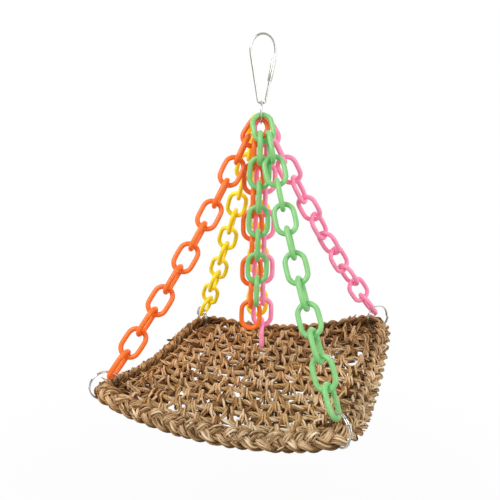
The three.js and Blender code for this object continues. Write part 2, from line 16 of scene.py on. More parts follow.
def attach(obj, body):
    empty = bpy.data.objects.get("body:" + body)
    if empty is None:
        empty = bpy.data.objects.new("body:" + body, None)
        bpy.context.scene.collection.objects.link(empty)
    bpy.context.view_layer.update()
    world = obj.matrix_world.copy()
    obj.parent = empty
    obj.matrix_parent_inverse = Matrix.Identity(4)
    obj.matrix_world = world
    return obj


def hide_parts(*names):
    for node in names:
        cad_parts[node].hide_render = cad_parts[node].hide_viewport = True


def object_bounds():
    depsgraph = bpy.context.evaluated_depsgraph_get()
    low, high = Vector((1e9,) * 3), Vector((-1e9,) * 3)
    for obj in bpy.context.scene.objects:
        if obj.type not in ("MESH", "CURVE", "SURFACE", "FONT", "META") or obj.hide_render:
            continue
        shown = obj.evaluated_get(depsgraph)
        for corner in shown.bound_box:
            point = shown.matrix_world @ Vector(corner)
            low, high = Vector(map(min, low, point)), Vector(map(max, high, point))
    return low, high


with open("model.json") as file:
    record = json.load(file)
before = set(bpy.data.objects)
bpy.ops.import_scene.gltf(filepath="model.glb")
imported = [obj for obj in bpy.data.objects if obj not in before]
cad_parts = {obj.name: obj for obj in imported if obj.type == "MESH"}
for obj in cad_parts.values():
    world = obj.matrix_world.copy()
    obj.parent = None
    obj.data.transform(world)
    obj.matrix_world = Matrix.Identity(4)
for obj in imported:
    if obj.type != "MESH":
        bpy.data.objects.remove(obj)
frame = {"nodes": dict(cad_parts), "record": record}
cad_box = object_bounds()
bpy.ops.object.select_all(action="DESELECT")
MM = 0.001
UP = Vector((0, 0, 1))
print("solids loaded:", len(frame["nodes"]))

# %% [markdown]
# The photograph was taken from close by, a little above the middle of the toy and to its right, so the near
# corners look bigger than the far ones. The camera is placed by its angles about a point on the toy,
# because angles are easy to compare with the picture. It is rolled by a degree, as the photograph is.

# %% Camera
CAMERA_AZIMUTH = math.radians(19.33)
CAMERA_ELEVATION = math.radians(11.44)
CAMERA_ROLL = math.radians(1.25)
CAMERA_DISTANCE = 0.522
CAMERA_TARGET = Vector((-0.0077, 0, -0.1865))
SENSOR_WIDTH = 36
FOCAL_PIXELS = 570.3
PICTURE_PIXELS = 500

towards_camera = Vector(
    (
        math.sin(CAMERA_AZIMUTH) * math.cos(CAMERA_ELEVATION),
        -math.cos(CAMERA_AZIMUTH) * math.cos(CAMERA_ELEVATION),
        math.sin(CAMERA_ELEVATION),
    )
)
level_right = Vector((math.cos(CAMERA_AZIMUTH), math.sin(CAMERA_AZIMUTH), 0))
level_up = towards_camera.cross(level_right)
camera_right = level_right * math.cos(CAMERA_ROLL) + level_up * math.sin(CAMERA_ROLL)
camera_up = level_up * math.cos(CAMERA_ROLL) - level_right * math.sin(CAMERA_ROLL)
camera_axes = Matrix((camera_right, camera_up, towards_camera)).transposed()

bpy.ops.object.camera_add()
camera = bpy.context.object
camera_place = CAMERA_TARGET + towards_camera * CAMERA_DISTANCE
camera.matrix_world = Matrix.Translation(camera_place) @ camera_axes.to_4x4()
camera.data.sensor_width = SENSOR_WIDTH
camera.data.lens = SENSOR_WIDTH * (FOCAL_PIXELS / PICTURE_PIXELS)
bpy.context.scene.camera = camera
print("camera at", [round(v, 3) for v in camera.location], "lens", round(camera.data.lens, 1))

# %% [markdown]
# Every finish is a small tree of nodes. One function adds a node with its settings and its links, and
# another turns the hex colours that we read off the real thing into the linear values that the shader takes.

# %% Helpers for materials


def linear(hex_colour):
    """Linear RGBA of an sRGB colour that is written in hex."""
    values = [int(hex_colour[i : i + 2], 16) / 255 for i in (1, 3, 5)]
    curved = [v / 12.92 if v <= 0.04045 else ((v + 0.055) / 1.055) ** 2.4 for v in values]
    return (*curved, 1)


def add_node(tree, kind, settings=(), inputs=()):
    """A new node. An input that is given a socket is linked to it, and any other input is set."""
    made = tree.nodes.new(kind)
    for name, value in dict(settings).items():
        setattr(made, name, value)
    for name, value in dict(inputs).items():
        if isinstance(value, bpy.types.NodeSocket):
            tree.links.new(value, made.inputs[name])
        else:
            made.inputs[name].default_value = value
    return made


def new_material(name):
    material = bpy.data.materials.new(name)
    material.use_nodes = True
    tree = material.node_tree
    return material, tree, tree.nodes["Principled BSDF"]


def set_ramp(ramp, stops):
    elements = ramp.color_ramp.elements
    while len(elements) < len(stops):
        elements.new(1)
    for element, (position, colour) in zip(elements, stops):
        element.position = position
        element.color = linear(colour)


# %% [markdown]
# The toy hangs in front of white paper. The world is white to the camera and dimmer as a light, so the
# colours stay as they are written. What shines mirrors the white paper behind the toy and a darker room in
# front of it, and that is what draws the grey lines on the metal.

# %% Studio
WORLD_LIGHT = 0.6
ROOM_MIRRORED = 0.42
ROOM_ENDS = -0.7
PAPER_STARTS = 0.1
WHITE = (1, 1, 1, 1)

scene = bpy.context.scene
scene.view_settings.view_transform = "Standard"
world = bpy.data.worlds.new("white_paper_room")
world.use_nodes = True
scene.world = world
world_tree = world.node_tree
world_shader = world_tree.nodes["Background"]


def seen_directly(tree):
    """1 for what the camera sees straight, mirrored or through something clear, and 0 for other light."""
    rays = add_node(tree, "ShaderNodeLightPath")
    total = rays.outputs["Is Camera Ray"]
    for other in ("Is Glossy Ray", "Is Transmission Ray"):
        both = add_node(tree, "ShaderNodeMath", {"operation": "MAXIMUM"}, {0: total, 1: rays.outputs[other]})
        total = both.outputs[0]
    return total


world_rays = add_node(world_tree, "ShaderNodeLightPath")
world_way = add_node(world_tree, "ShaderNodeTexCoord")
world_sides = add_node(world_tree, "ShaderNodeSeparateXYZ", inputs={0: world_way.outputs["Generated"]})
mirrored = add_node(
    world_tree,
    "ShaderNodeMapRange",
    inputs={
        "Value": world_sides.outputs["Y"],
        "From Min": ROOM_ENDS,
        "From Max": PAPER_STARTS,
        "To Min": ROOM_MIRRORED,
    },
)
lit = add_node(
    world_tree,
    "ShaderNodeMapRange",
    inputs={"Value": seen_directly(world_tree), "To Min": WORLD_LIGHT, "To Max": 1.0},
)
strength = add_node(
    world_tree,
    "ShaderNodeMix",
    inputs={"Factor": world_rays.outputs["Is Glossy Ray"], "A": lit.outputs[0], "B": mirrored.outputs[0]},
)
world_shader.inputs["Color"].default_value = WHITE
world_tree.links.new(strength.outputs[0], world_shader.inputs["Strength"])
print("world:", world.name, "with", len(world_tree.nodes), "nodes")

# %% [markdown]
# The paper runs on under the toy. A plane stands for it. It is nearly all white to the camera, so it melts
# into the background, and the little that is left of its own grey lets a faint shadow show near the middle.

# %% Floor
FLOOR_BELOW = 0.16
FLOOR_SIZE = 6
FLOOR_GREY = "#9A9A9A"
FLOOR_WHITE_SHARE = 0.95
SHADOW_REACH = 0.5

floor_material, floor_tree, floor_shader = new_material("white_floor_paper")
floor_shader.inputs["Base Color"].default_value = linear(FLOOR_GREY)
floor_shader.inputs["Roughness"].default_value = 0.9
floor_glow = add_node(floor_tree, "ShaderNodeEmission", inputs={"Color": WHITE, "Strength": 1.0})
floor_place = add_node(floor_tree, "ShaderNodeTexCoord")
floor_far = add_node(
    floor_tree, "ShaderNodeVectorMath", {"operation": "LENGTH"}, {0: floor_place.outputs["Object"]}
)
floor_fade = add_node(
    floor_tree,
    "ShaderNodeMapRange",
    inputs={
        "Value": floor_far.outputs["Value"],
        "From Max": SHADOW_REACH,
        "To Min": FLOOR_WHITE_SHARE,
        "To Max": 1.0,
    },
)
floor_share = add_node(
    floor_tree,
    "ShaderNodeMath",
    {"operation": "MULTIPLY"},
    {0: seen_directly(floor_tree), 1: floor_fade.outputs[0]},
)
floor_mix = add_node(
    floor_tree,
    "ShaderNodeMixShader",
    inputs={0: floor_share.outputs[0], 1: floor_shader.outputs[0], 2: floor_glow.outputs[0]},
)
floor_tree.links.new(floor_mix.outputs[0], floor_tree.nodes["Material Output"].inputs["Surface"])

bpy.ops.mesh.primitive_plane_add(size=FLOOR_SIZE, location=(0, 0, cad_box[0][2] - FLOOR_BELOW))
floor = bpy.context.object
floor.name = "floor"
floor.data.materials.append(floor_material)
print("floor:", FLOOR_BELOW, "m below the mat")

# %% [markdown]
# A big soft lamp stands up to the left of the camera, where the bright lines on the real links come from.
# A weaker one fills from the right, and one behind lifts the far edges off the white.

# %% Lamps
LAMPS = {
    "key": {"place": (-0.5, -0.88, 0.55), "size": 0.7, "watts": 11.8},
    "fill": {"place": (0.95, -0.5, 0.1), "size": 0.8, "watts": 5.0},
    "back": {"place": (0.2, 1.0, 0.45), "size": 0.8, "watts": 3.0},
}
LAMP_AIM = Vector((0, 0, -0.2))

for name, lamp in LAMPS.items():
    bpy.ops.object.light_add(type="AREA", location=lamp["place"])
    light = bpy.context.object
    light.name = name + "_lamp"
    light.data.shape = "DISK"
    light.data.size = lamp["size"]
    light.data.energy = lamp["watts"]
    light.rotation_euler = (LAMP_AIM - light.location).to_track_quat("-Z", "Y").to_euler()
print("lamps:", sorted(LAMPS))

# %% [markdown]
# The links are moulded in polypropylene: saturated, waxy and slightly see-through, so light that gets into
# the wire glows back in the bends. Subsurface scattering gives that glow, and a smooth surface gives the
# pale lines down each leg. A faint waviness from the mould keeps those lines from being dead straight.
# Each link also gives off a faint light of a deeper colour of its own, the same whatever falls on it. This is
# painted glow, and it shows in the shaded bends.

# %% Chain plastic
CHAIN_COLOURS = {"green": "#83B474", "orange": "#DE6E16", "pink": "#F39CBD", "yellow": "#EBDA10"}
# Colours of the painted glow, deeper than the links' own colours.
PAINTED_GLOW_COLOURS = {"green": "#38C85C", "orange": "#FF4008", "pink": "#F0447C", "yellow": "#E89C00"}
MOULD_WAVE = 9 * MM
MOULD_WAVE_HEIGHT = 0.3 * MM
PLASTIC_DARKER = 0.9
PLASTIC_GLOW_DEPTH = 1.5 * MM
PAINTED_GLOW_STRENGTH = 0.2


def polypropylene(colour):
    material, tree, shader = new_material(f"moulded_polypropylene_{colour}")
    place = add_node(tree, "ShaderNodeTexCoord")
    wave = add_node(
        tree,
        "ShaderNodeTexNoise",
        inputs={"Vector": place.outputs["Object"], "Scale": 1 / MOULD_WAVE, "Detail": 0.0},
    )
    tone = add_node(tree, "ShaderNodeValToRGB", inputs={"Fac": wave.outputs[0]})
    base = Vector(linear(CHAIN_COLOURS[colour])[:3])
    stops = tone.color_ramp.elements
    stops[0].position = 0.3
    stops[0].color = (*(base * PLASTIC_DARKER), 1)
    stops[1].position = 0.7
    stops[1].color = (*base, 1)
    gloss = add_node(
        tree, "ShaderNodeMapRange", inputs={"Value": wave.outputs[0], "To Min": 0.3, "To Max": 0.4}
    )
    bump = add_node(
        tree,
        "ShaderNodeBump",
        inputs={"Height": wave.outputs[0], "Strength": 0.05, "Distance": MOULD_WAVE_HEIGHT},
    )
    tree.links.new(tone.outputs[0], shader.inputs["Base Color"])
    tree.links.new(gloss.outputs[0], shader.inputs["Roughness"])
    tree.links.new(bump.outputs[0], shader.inputs["Normal"])
    # Painted glow: a faint, even light of a deeper colour, which lifts the shaded bends.
    shader.inputs["Emission Color"].default_value = linear(PAINTED_GLOW_COLOURS[colour])
    shader.inputs["Emission Strength"].default_value = PAINTED_GLOW_STRENGTH
    shader.inputs["IOR"].default_value = 1.49
    shader.inputs["Subsurface Weight"].default_value = 0.25
    shader.inputs["Subsurface Radius"].default_value = (1.0, 0.6, 0.4)
    shader.inputs["Subsurface Scale"].default_value = PLASTIC_GLOW_DEPTH
    return material


plastics = {colour: polypropylene(colour) for colour in CHAIN_COLOURS}
print("plastics:", [plastic.name for plastic in plastics.values()])

# %% [markdown]
# A link is a round wire bent into a long loop. It is made from a torus whose two halves are pulled apart: the
# torus is turned by half a segment, so no ring of points lies on the parting, and the stretched faces in
# between become the straight legs. The outermost line of points is pulled out a little: it is the flash
# line that the two halves of the mould leave round every link.

# %% One chain link
LINK_WIRE = 4.53 * MM
LINK_LENGTH = 30.2 * MM
LINK_WIDTH = 21.24 * MM
LINK_SEGMENTS = 24
LINK_SIDES = 12
FLASH_HEIGHT = 0.09 * MM
POINT_TOLERANCE = 0.01 * MM
bend_radius = (LINK_WIDTH - LINK_WIRE) / 2
crown_to_crown = LINK_LENGTH - LINK_WIRE
link_straight = crown_to_crown - 2 * bend_radius


def select_points(mesh_object, wanted):
    bpy.ops.object.mode_set(mode="EDIT")
    bpy.ops.mesh.select_mode(type="VERT")
    bpy.ops.mesh.select_all(action="DESELECT")
    bpy.ops.object.mode_set(mode="OBJECT")
    for vertex in mesh_object.data.vertices:
        vertex.select = wanted(vertex.co)
    bpy.ops.object.mode_set(mode="EDIT")


bpy.ops.mesh.primitive_torus_add(
    major_segments=LINK_SEGMENTS,
    minor_segments=LINK_SIDES,
    major_radius=bend_radius,
    minor_radius=LINK_WIRE / 2,
    rotation=(0, 0, math.pi / LINK_SEGMENTS),
)
link_model = bpy.context.object
link_model.name = "link_model"
bpy.ops.object.transform_apply(location=True, rotation=True, scale=True)
outer_reach = bend_radius + LINK_WIRE / 2
select_points(link_model, lambda co: math.hypot(co.x, co.y) > outer_reach - POINT_TOLERANCE)
flash = (outer_reach + FLASH_HEIGHT) / outer_reach
bpy.ops.transform.resize(value=(flash, flash, 1), center_override=(0, 0, 0))
for end in (1, -1):
    select_points(link_model, lambda co: co.y * end > 0)
    bpy.ops.transform.translate(value=(0, end * link_straight / 2, 0))
bpy.ops.object.mode_set(mode="OBJECT")
smooth = link_model.modifiers.new("round", "SUBSURF")
smooth.levels = 1
smooth.render_levels = 1
bpy.ops.object.modifier_apply(modifier=smooth.name)
bpy.ops.object.shade_smooth()
print("link:", len(link_model.data.polygons), "faces")

# %% [markdown]
# A node that is one link tells us where it lies by the spread of its points: they reach furthest along the
# link, less far across it, and least through its thickness. The corner chains come as runs of links, so
# their places are worked out again from where each chain starts and where its split ring hangs. Each link
# leans a degree more than the one above it, because a chain bows under its own weight.
# In the table, start is the crown of a chain's first link and ring is the middle of its split ring, both in
# millimetres. twist is the turn from one link to the next, in degrees.

# %% Places of the links
RUN_NAMES = ("upper", "middle", "lower")
CHAIN_BOW = math.radians(1)
JOINED_STEP = 21.34 * MM
HINGED_STEP = 20.84 * MM
LAST_STEP = 34.017 * MM
CHAINS = {
    "green": {
        "start": (10.15, -11.70, -81.59),
        "ring": (99.95, -99.95, -292.95),
        "runs": (4, 4, 3),
        "twist": 93,
    },
    "orange": {
        "start": (-9.12, -6.29, -84.21),
        "ring": (-99.95, -99.95, -292.77),
        "runs": (4, 4, 3),
        "twist": 91,
    },
    "pink": {
        "start": (9.20, 6.12, -84.24),
        "ring": (99.95, 99.95, -267.21),
        "runs": (4, 3, 3),
        "twist": 98,
    },
    "yellow": {
        "start": (-10.15, 11.70, -81.59),
        "ring": (-99.95, 99.95, -292.95),
        "runs": (4, 4, 3),
        "twist": 93,
    },
}


def link_matrix(middle, direction, across):
    lateral = (across - direction * across.dot(direction)).normalized()
    normal = lateral.cross(direction)
    return Matrix.Translation(middle) @ Matrix((lateral, direction, normal)).transposed().to_4x4()


def single_link(node):
    points = np.array([v.co for v in frame["nodes"][node].data.vertices])
    points = np.unique(points.round(6), axis=0)
    middle = points.mean(axis=0)
    axes = np.linalg.eigh(np.cov((points - middle).T))[1]
    return link_matrix(Vector(middle), Vector(axes[:, 2]), Vector(axes[:, 1]))


def corner_links(colour):
    chain = CHAINS[colour]
    start = Vector(chain["start"]) * MM
    span = Vector(chain["ring"]) * MM - start
    steps = []
    for count in chain["runs"]:
        steps += [JOINED_STEP] * (count - 1) + [HINGED_STEP]
    steps[-1] = LAST_STEP
    reach_out = sum(step * math.sin(i * CHAIN_BOW) for i, step in enumerate(steps))
    reach_down = sum(step * math.cos(i * CHAIN_BOW) for i, step in enumerate(steps))
    heading = Vector((span.x, span.y, 0)).normalized()
    level = UP.cross(heading)
    slope = math.atan2(span.dot(heading), -span.z) - math.atan2(reach_out, reach_down)
    top_normal = single_link(f"{colour}_top_link").col[2].to_3d()
    places = []
    crown = start
    turn = None
    for step in steps:
        direction = heading * math.sin(slope) - UP * math.cos(slope)
        upright = direction.cross(level)
        if turn is None:
            turn = math.atan2(top_normal.dot(upright), top_normal.dot(level))
        across = level * math.cos(turn) + upright * math.sin(turn)
        places.append(link_matrix(crown + direction * crown_to_crown / 2, direction, across))
        crown = crown + direction * step
        slope += CHAIN_BOW
        turn += math.radians(chain["twist"])
    return places


# %% [markdown]
# Each link is a copy of the model with its own mesh, moved to its place in the mesh itself, so the object
# stays at the origin like the solids do. The links of a run are joined into one object.

# %% Chains


def place_links(name, places, colour, body, node):
    bpy.ops.object.select_all(action="DESELECT")
    for place in places:
        copy = bpy.data.objects.new(name, link_model.data.copy())
        bpy.context.collection.objects.link(copy)
        copy.data.transform(place)
        copy.select_set(True)
        bpy.context.view_layer.objects.active = copy
    if len(places) > 1:
        bpy.ops.object.join()
    piece = bpy.context.view_layer.objects.active
    piece.name = name
    piece.data.materials.clear()
    piece.data.materials.append(plastics[colour])
    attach(piece, body)
    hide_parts(node)


bodies = frame["record"]["behaviour"]["bodies"]
body_of_node = {node: body for body, nodes in bodies.items() for node in nodes}
link_count = 0
for colour, chain in CHAINS.items():
    singles = [n for n in frame["nodes"] if n.startswith(colour) and ("top_link" in n or "dangle" in n)]
    for node in sorted(singles):
        place_links(node + "_moulded", [single_link(node)], colour, body_of_node[node], node)
    places = corner_links(colour)
    first = 0
    for run, count in zip(RUN_NAMES, chain["runs"]):
        node = f"{colour}_chain_{run}"
        place_links(node + "_moulded", places[first : first + count], colour, body_of_node[node], node)
        first += count
    link_count += len(singles) + len(places)
bpy.data.objects.remove(link_model)
print("links placed:", link_count)

# %% [markdown]
# The hardware is steel wire with a bright nickel plating: a grey mirror, slightly yellow, with a fine
# waviness from drawing the wire that breaks up what it mirrors.

# %% Nickel
WIRE_WAVE = 3 * MM
WIRE_WAVE_HEIGHT = 0.1 * MM
NICKEL_SHADE = "#B4B2AC"


def nickel_plating(name, colour, low, high):
    material, tree, shader = new_material(name)
    place = add_node(tree, "ShaderNodeTexCoord")
    wave = add_node(
        tree,
        "ShaderNodeTexNoise",
        inputs={"Vector": place.outputs["Object"], "Scale": 1 / WIRE_WAVE, "Detail": 3.0},
    )
    gloss = add_node(
        tree, "ShaderNodeMapRange", inputs={"Value": wave.outputs[0], "To Min": low, "To Max": high}
    )
    bump = add_node(
        tree,
        "ShaderNodeBump",
        inputs={"Height": wave.outputs[0], "Strength": 0.15, "Distance": WIRE_WAVE_HEIGHT},
    )
    tone = add_node(tree, "ShaderNodeValToRGB", inputs={"Fac": wave.outputs[0]})
    set_ramp(tone, [(0.25, NICKEL_SHADE), (0.7, colour)])
    tree.links.new(tone.outputs[0], shader.inputs["Base Color"])
    tree.links.new(gloss.outputs[0], shader.inputs["Roughness"])
    tree.links.new(bump.outputs[0], shader.inputs["Normal"])
    shader.inputs["Metallic"].default_value = 1.0
    return material


wire_nickel = nickel_plating("nickel_plated_wire", "#CCCAC4", 0.08, 0.2)
sleeve_nickel = nickel_plating("nickel_plated_sleeve", "#DCD9D0", 0.16, 0.3)
print("platings:", wire_nickel.name, sleeve_nickel.name)

# %% [markdown]
# The wire pieces are drawn as curves with a round section, the way a wire is bent, and then made meshes. A
# mesh tube could be extruded step by step instead, but a curve needs only the line of the wire.

# %% Bent wire
WIRE_ROUNDING = 3
WELD_REACH = 0.001 * MM
WIRE_SMOOTH_BELOW = math.radians(40)


def bent_wire(name, points, diameter, closed=False):
    curve = bpy.data.curves.new(name, "CURVE")
    curve.dimensions = "3D"
    curve.bevel_depth = diameter / 2
    curve.bevel_resolution = WIRE_ROUNDING
    curve.use_fill_caps = True
    spline = curve.splines.new("POLY")
    spline.points.add(len(points) - 1)
    for knot, point in zip(spline.points, points):
        knot.co = (*point, 1)
    spline.use_cyclic_u = closed
    wire = bpy.data.objects.new(name, curve)
    bpy.context.collection.objects.link(wire)
    bpy.ops.object.select_all(action="DESELECT")
    wire.select_set(True)
    bpy.context.view_layer.objects.active = wire
    bpy.ops.object.convert(target="MESH")
    wire = bpy.context.object
    bpy.ops.object.mode_set(mode="EDIT")
    bpy.ops.mesh.select_all(action="SELECT")
    bpy.ops.mesh.remove_doubles(threshold=WELD_REACH)
    bpy.ops.mesh.normals_make_consistent(inside=False)
    bpy.ops.object.mode_set(mode="OBJECT")
    bpy.ops.object.shade_smooth_by_angle(angle=WIRE_SMOOTH_BELOW)
    return wire


# %% [markdown]
# The pear link's crown is half an ellipse. It runs on a little past its half, to where the straight legs
# leave it without a kink. That overrun and the slope of the legs are in radians. The legs end in the small
# corners of the foot, and one leg is open where the sleeve covers it.

# %% Pear link
PEAR_WIRE = 2 * MM
PEAR_TURN = math.radians(18)
PEAR_CROWN_HALF = 10.6 * MM
PEAR_CROWN_HEIGHT = 13.5 * MM
PEAR_CROWN_CENTRE = -12.5 * MM
PEAR_FOOT = -56 * MM
PEAR_FOOT_HALF = 3.35 * MM
PEAR_FOOT_RADIUS = 2.4 * MM
LEG_SLOPE = 0.18032
CROWN_OVERRUN = 0.22813
SLEEVE_TOP = 4 * MM
SLEEVE_LAP = 2 * MM
GATE_OPENING = 7 * MM
SLEEVE_LENGTH = 18.6 * MM
SLEEVE_RADIUS = 2.1 * MM
SLEEVE_BORE = 1.3 * MM
CROWN_STEPS = 40
FOOT_STEPS = 8

across_pear = Vector((math.cos(PEAR_TURN), math.sin(PEAR_TURN), 0))
through_pear = Vector((-math.sin(PEAR_TURN), math.cos(PEAR_TURN), 0))


def on_pear(x, z):
    return across_pear * x + UP * z


crown_end = Vector(
    (
        PEAR_CROWN_HALF * math.cos(CROWN_OVERRUN),
        PEAR_CROWN_CENTRE - PEAR_CROWN_HEIGHT * math.sin(CROWN_OVERRUN),
    )
)
leg_down = Vector((-math.sin(LEG_SLOPE), -math.cos(LEG_SLOPE)))
pear_path = [crown_end + leg_down * (SLEEVE_TOP + SLEEVE_LAP)]
for i in range(CROWN_STEPS + 1):
    angle = -CROWN_OVERRUN + i / CROWN_STEPS * (math.pi + 2 * CROWN_OVERRUN)
    rise = PEAR_CROWN_HEIGHT * math.sin(angle)
    pear_path.append(Vector((PEAR_CROWN_HALF * math.cos(angle), PEAR_CROWN_CENTRE + rise)))
foot_middle = Vector((PEAR_FOOT_HALF - PEAR_FOOT_RADIUS, PEAR_FOOT + PEAR_FOOT_RADIUS))
for side in (-1, 1):
    for i in range(FOOT_STEPS + 1):
        share = i / FOOT_STEPS if side < 0 else 1 - i / FOOT_STEPS
        angle = -LEG_SLOPE - share * (math.pi / 2 - LEG_SLOPE)
        x = side * (foot_middle.x + PEAR_FOOT_RADIUS * math.cos(angle))
        pear_path.append(Vector((x, foot_middle.y + PEAR_FOOT_RADIUS * math.sin(angle))))
pear_path.append(crown_end + leg_down * (SLEEVE_TOP + SLEEVE_LAP + GATE_OPENING))

pear = bent_wire("pear_link_bent_wire", [on_pear(p.x, p.y) for p in pear_path], PEAR_WIRE)
pear.data.materials.append(wire_nickel)
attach(pear, "pear_link")
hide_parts("pear_link_wire")
print("pear link:", len(pear.data.polygons), "faces")

# %% [markdown]
# The sleeve is a short tube that slides on the open leg. It starts as an open cylinder, gets its wall from
# Solidify, and its rims are rolled over with a bevel.

# %% Gate sleeve
SLEEVE_SIDES = 32
RIM_ROLL = 0.35 * MM
RIM_SEGMENTS = 3
RIM_ANGLE = math.radians(60)
SLEEVE_SMOOTH_BELOW = math.radians(35)

sleeve_middle = crown_end + leg_down * (SLEEVE_TOP + SLEEVE_LENGTH / 2)
leg_axis = on_pear(leg_down.x, leg_down.y)
bpy.ops.mesh.primitive_cylinder_add(
    vertices=SLEEVE_SIDES,
    radius=SLEEVE_RADIUS,
    depth=SLEEVE_LENGTH,
    end_fill_type="NOTHING",
)
sleeve = bpy.context.object
sleeve.name = "gate_sleeve_rolled"
wall = sleeve.modifiers.new("wall", "SOLIDIFY")
wall.thickness = SLEEVE_RADIUS - SLEEVE_BORE
wall.offset = -1
rims = sleeve.modifiers.new("rims", "BEVEL")
rims.width = RIM_ROLL
rims.segments = RIM_SEGMENTS
rims.limit_method = "ANGLE"
rims.angle_limit = RIM_ANGLE
for modifier in (wall, rims):
    bpy.ops.object.modifier_apply(modifier=modifier.name)
sleeve.rotation_euler = (-leg_axis).to_track_quat("Z", "Y").to_euler()
sleeve.location = on_pear(sleeve_middle.x, sleeve_middle.y)
bpy.ops.object.transform_apply(location=True, rotation=True, scale=True)
bpy.ops.object.shade_smooth_by_angle(angle=SLEEVE_SMOOTH_BELOW)
sleeve.data.materials.append(sleeve_nickel)
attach(sleeve, "gate")
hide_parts("gate_sleeve")
print("sleeve:", len(sleeve.data.polygons), "faces")

# %% [markdown]
# The small ring under the pear link is one turn of wire, and the rings in the mat's corners are key rings
# of two turns that lie side by side.

# %% Rings
TOP_RING_RADIUS = 9.7 * MM
TOP_RING_WIRE = 1.6 * MM
TOP_RING_CENTRE = Vector((0, 0, -63.6)) * MM
SPLIT_RADIUS = 12.4 * MM
SPLIT_WIRE = 1.2 * MM
SPLIT_PITCH = 1.6 * MM
SPLIT_TURNS = 2
RING_STEPS = 64

circle = [2 * math.pi * i / RING_STEPS for i in range(RING_STEPS)]
spokes = [through_pear * math.cos(angle) + UP * math.sin(angle) for angle in circle]
ring_points = [TOP_RING_CENTRE + spoke * TOP_RING_RADIUS for spoke in spokes]
top_ring = bent_wire("top_ring_bent_wire", ring_points, TOP_RING_WIRE, closed=True)
top_ring.data.materials.append(wire_nickel)
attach(top_ring, "ring")
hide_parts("top_ring")

for colour, chain in CHAINS.items():
    centre = Vector(chain["ring"]) * MM
    outwards = Vector((centre.x, centre.y, 0)).normalized()
    axis = outwards.cross(UP)
    coil = []
    for i in range(RING_STEPS * SPLIT_TURNS + 1):
        turn = i / RING_STEPS
        angle = 2 * math.pi * turn
        outward = outwards * math.cos(angle) + UP * math.sin(angle)
        coil.append(centre + outward * SPLIT_RADIUS + axis * (turn - SPLIT_TURNS / 2) * SPLIT_PITCH)
    ring = bent_wire(f"{colour}_split_ring_coiled", coil, SPLIT_WIRE)
    ring.data.materials.append(wire_nickel)
    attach(ring, f"{colour}_split_ring")
    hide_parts(f"{colour}_split_ring")
print("rings:", 1 + len(CHAINS))

# %% [markdown]
# The mat is dried seagrass: long flat blades, rolled and twisted in twos and threes into cord. Each blade is
# swept as a flattened tube along its own path, because a bump on a flat sheet would show no gaps, no
# shadow under the stitches and no ragged outline. Its UV map runs along the blade, for the fibres.

# %% Blades of grass
BLADE_SIDES = 6
BLADE_TIP = 0.35
TIP_SHARE = 1 / 8
TINY = 1e-9
UPWARD = np.array([0.0, 0.0, 1.0])
rng = np.random.default_rng(20)


def unit(vectors):
    return vectors / np.maximum(np.linalg.norm(vectors, axis=-1, keepdims=True), TINY)


def blade_sides(paths, twist, closed):
    """Directions across and through each blade, at every step of its path."""
    if closed:
        tangent = unit(np.roll(paths, -1, axis=1) - np.roll(paths, 1, axis=1))
    else:
        tangent = unit(np.gradient(paths, axis=1))
    level = unit(np.cross(UPWARD, tangent) + TINY)
    normal = np.cross(tangent, level)
    turn = np.asarray(twist)[..., None]
    wide = np.cos(turn) * level + np.sin(turn) * normal
    thin = np.cos(turn) * normal - np.sin(turn) * level
    return wide, thin


def fibre_uv(paths, step, side):
    """UVs of each quad: the way along the blade in metres, and the share of the way round it."""
    length = np.cumsum(np.linalg.norm(np.diff(paths, axis=1), axis=-1), axis=1)
    length = np.concatenate([np.zeros((len(paths), 1)), length], axis=1)
    one_more = length[:, -1:] + (length[:, -1:] - length[:, -2:-1])
    length = np.concatenate([length, one_more], axis=1)
    u_low, u_high = length[:, step], length[:, step + 1]
    v_low = np.broadcast_to(side / BLADE_SIDES, u_low.shape)
    v_high = np.broadcast_to((side + 1) / BLADE_SIDES, u_low.shape)
    corners = [u_low, v_low, u_low, v_high, u_high, v_high, u_high, v_low]
    return np.stack(corners, axis=-1).reshape(-1, 2)


def sweep_blades(paths, width, thickness, twist, closed=False, taper=BLADE_TIP):
    """Points, quads, caps, UVs and blade numbers of flattened tubes. paths is (blades, steps, 3)."""
    count, steps, _ = paths.shape
    wide, thin = blade_sides(paths, twist, closed)
    slim = np.ones(steps)
    if not closed:
        along = np.linspace(0, 1, steps)
        slim = taper + (1 - taper) * np.clip(np.minimum(along, 1 - along) / TIP_SHARE, 0, 1)
    round_angle = np.arange(BLADE_SIDES) / BLADE_SIDES * 2 * np.pi
    half_wide = np.broadcast_to(np.asarray(width, float) / 2, (count,))[:, None] * slim
    half_thin = np.broadcast_to(np.asarray(thickness, float) / 2, (count,))[:, None] * slim
    points = (
        paths[:, :, None, :]
        + (half_wide[..., None] * np.cos(round_angle))[..., None] * wide[:, :, None, :]
        + (half_thin[..., None] * np.sin(round_angle))[..., None] * thin[:, :, None, :]
    )
    spans = steps if closed else steps - 1
    step, side = np.meshgrid(np.arange(spans), np.arange(BLADE_SIDES), indexing="ij")
    step, side = step.ravel(), side.ravel()
    here = step * BLADE_SIDES
    there = (step + 1) % steps * BLADE_SIDES
    next_side = (side + 1) % BLADE_SIDES
    quad = np.stack([here + side, here + next_side, there + next_side, there + side], axis=-1)
    first_point = np.arange(count)[:, None] * steps * BLADE_SIDES
    quads = (quad + first_point[:, :, None]).reshape(-1, 4)
    caps = []
    if not closed:
        ring = np.arange(BLADE_SIDES)
        last_ring = (steps - 1) * BLADE_SIDES + ring
        caps = np.concatenate([first_point + ring[::-1], first_point + last_ring]).tolist()
    owner = np.repeat(np.arange(count), steps * BLADE_SIDES)
    return points.reshape(-1, 3), quads, caps, fibre_uv(paths, step, side), owner


# %% [markdown]
# A piece of grasswork is the blades of several batches in one mesh, because thousands of objects would be
# slow to handle. Each blade draws a tone by chance, which picks its colour. A batch may also darken its
# blades from point to point, where they go down into the shade of others.

# %% Pieces of grass


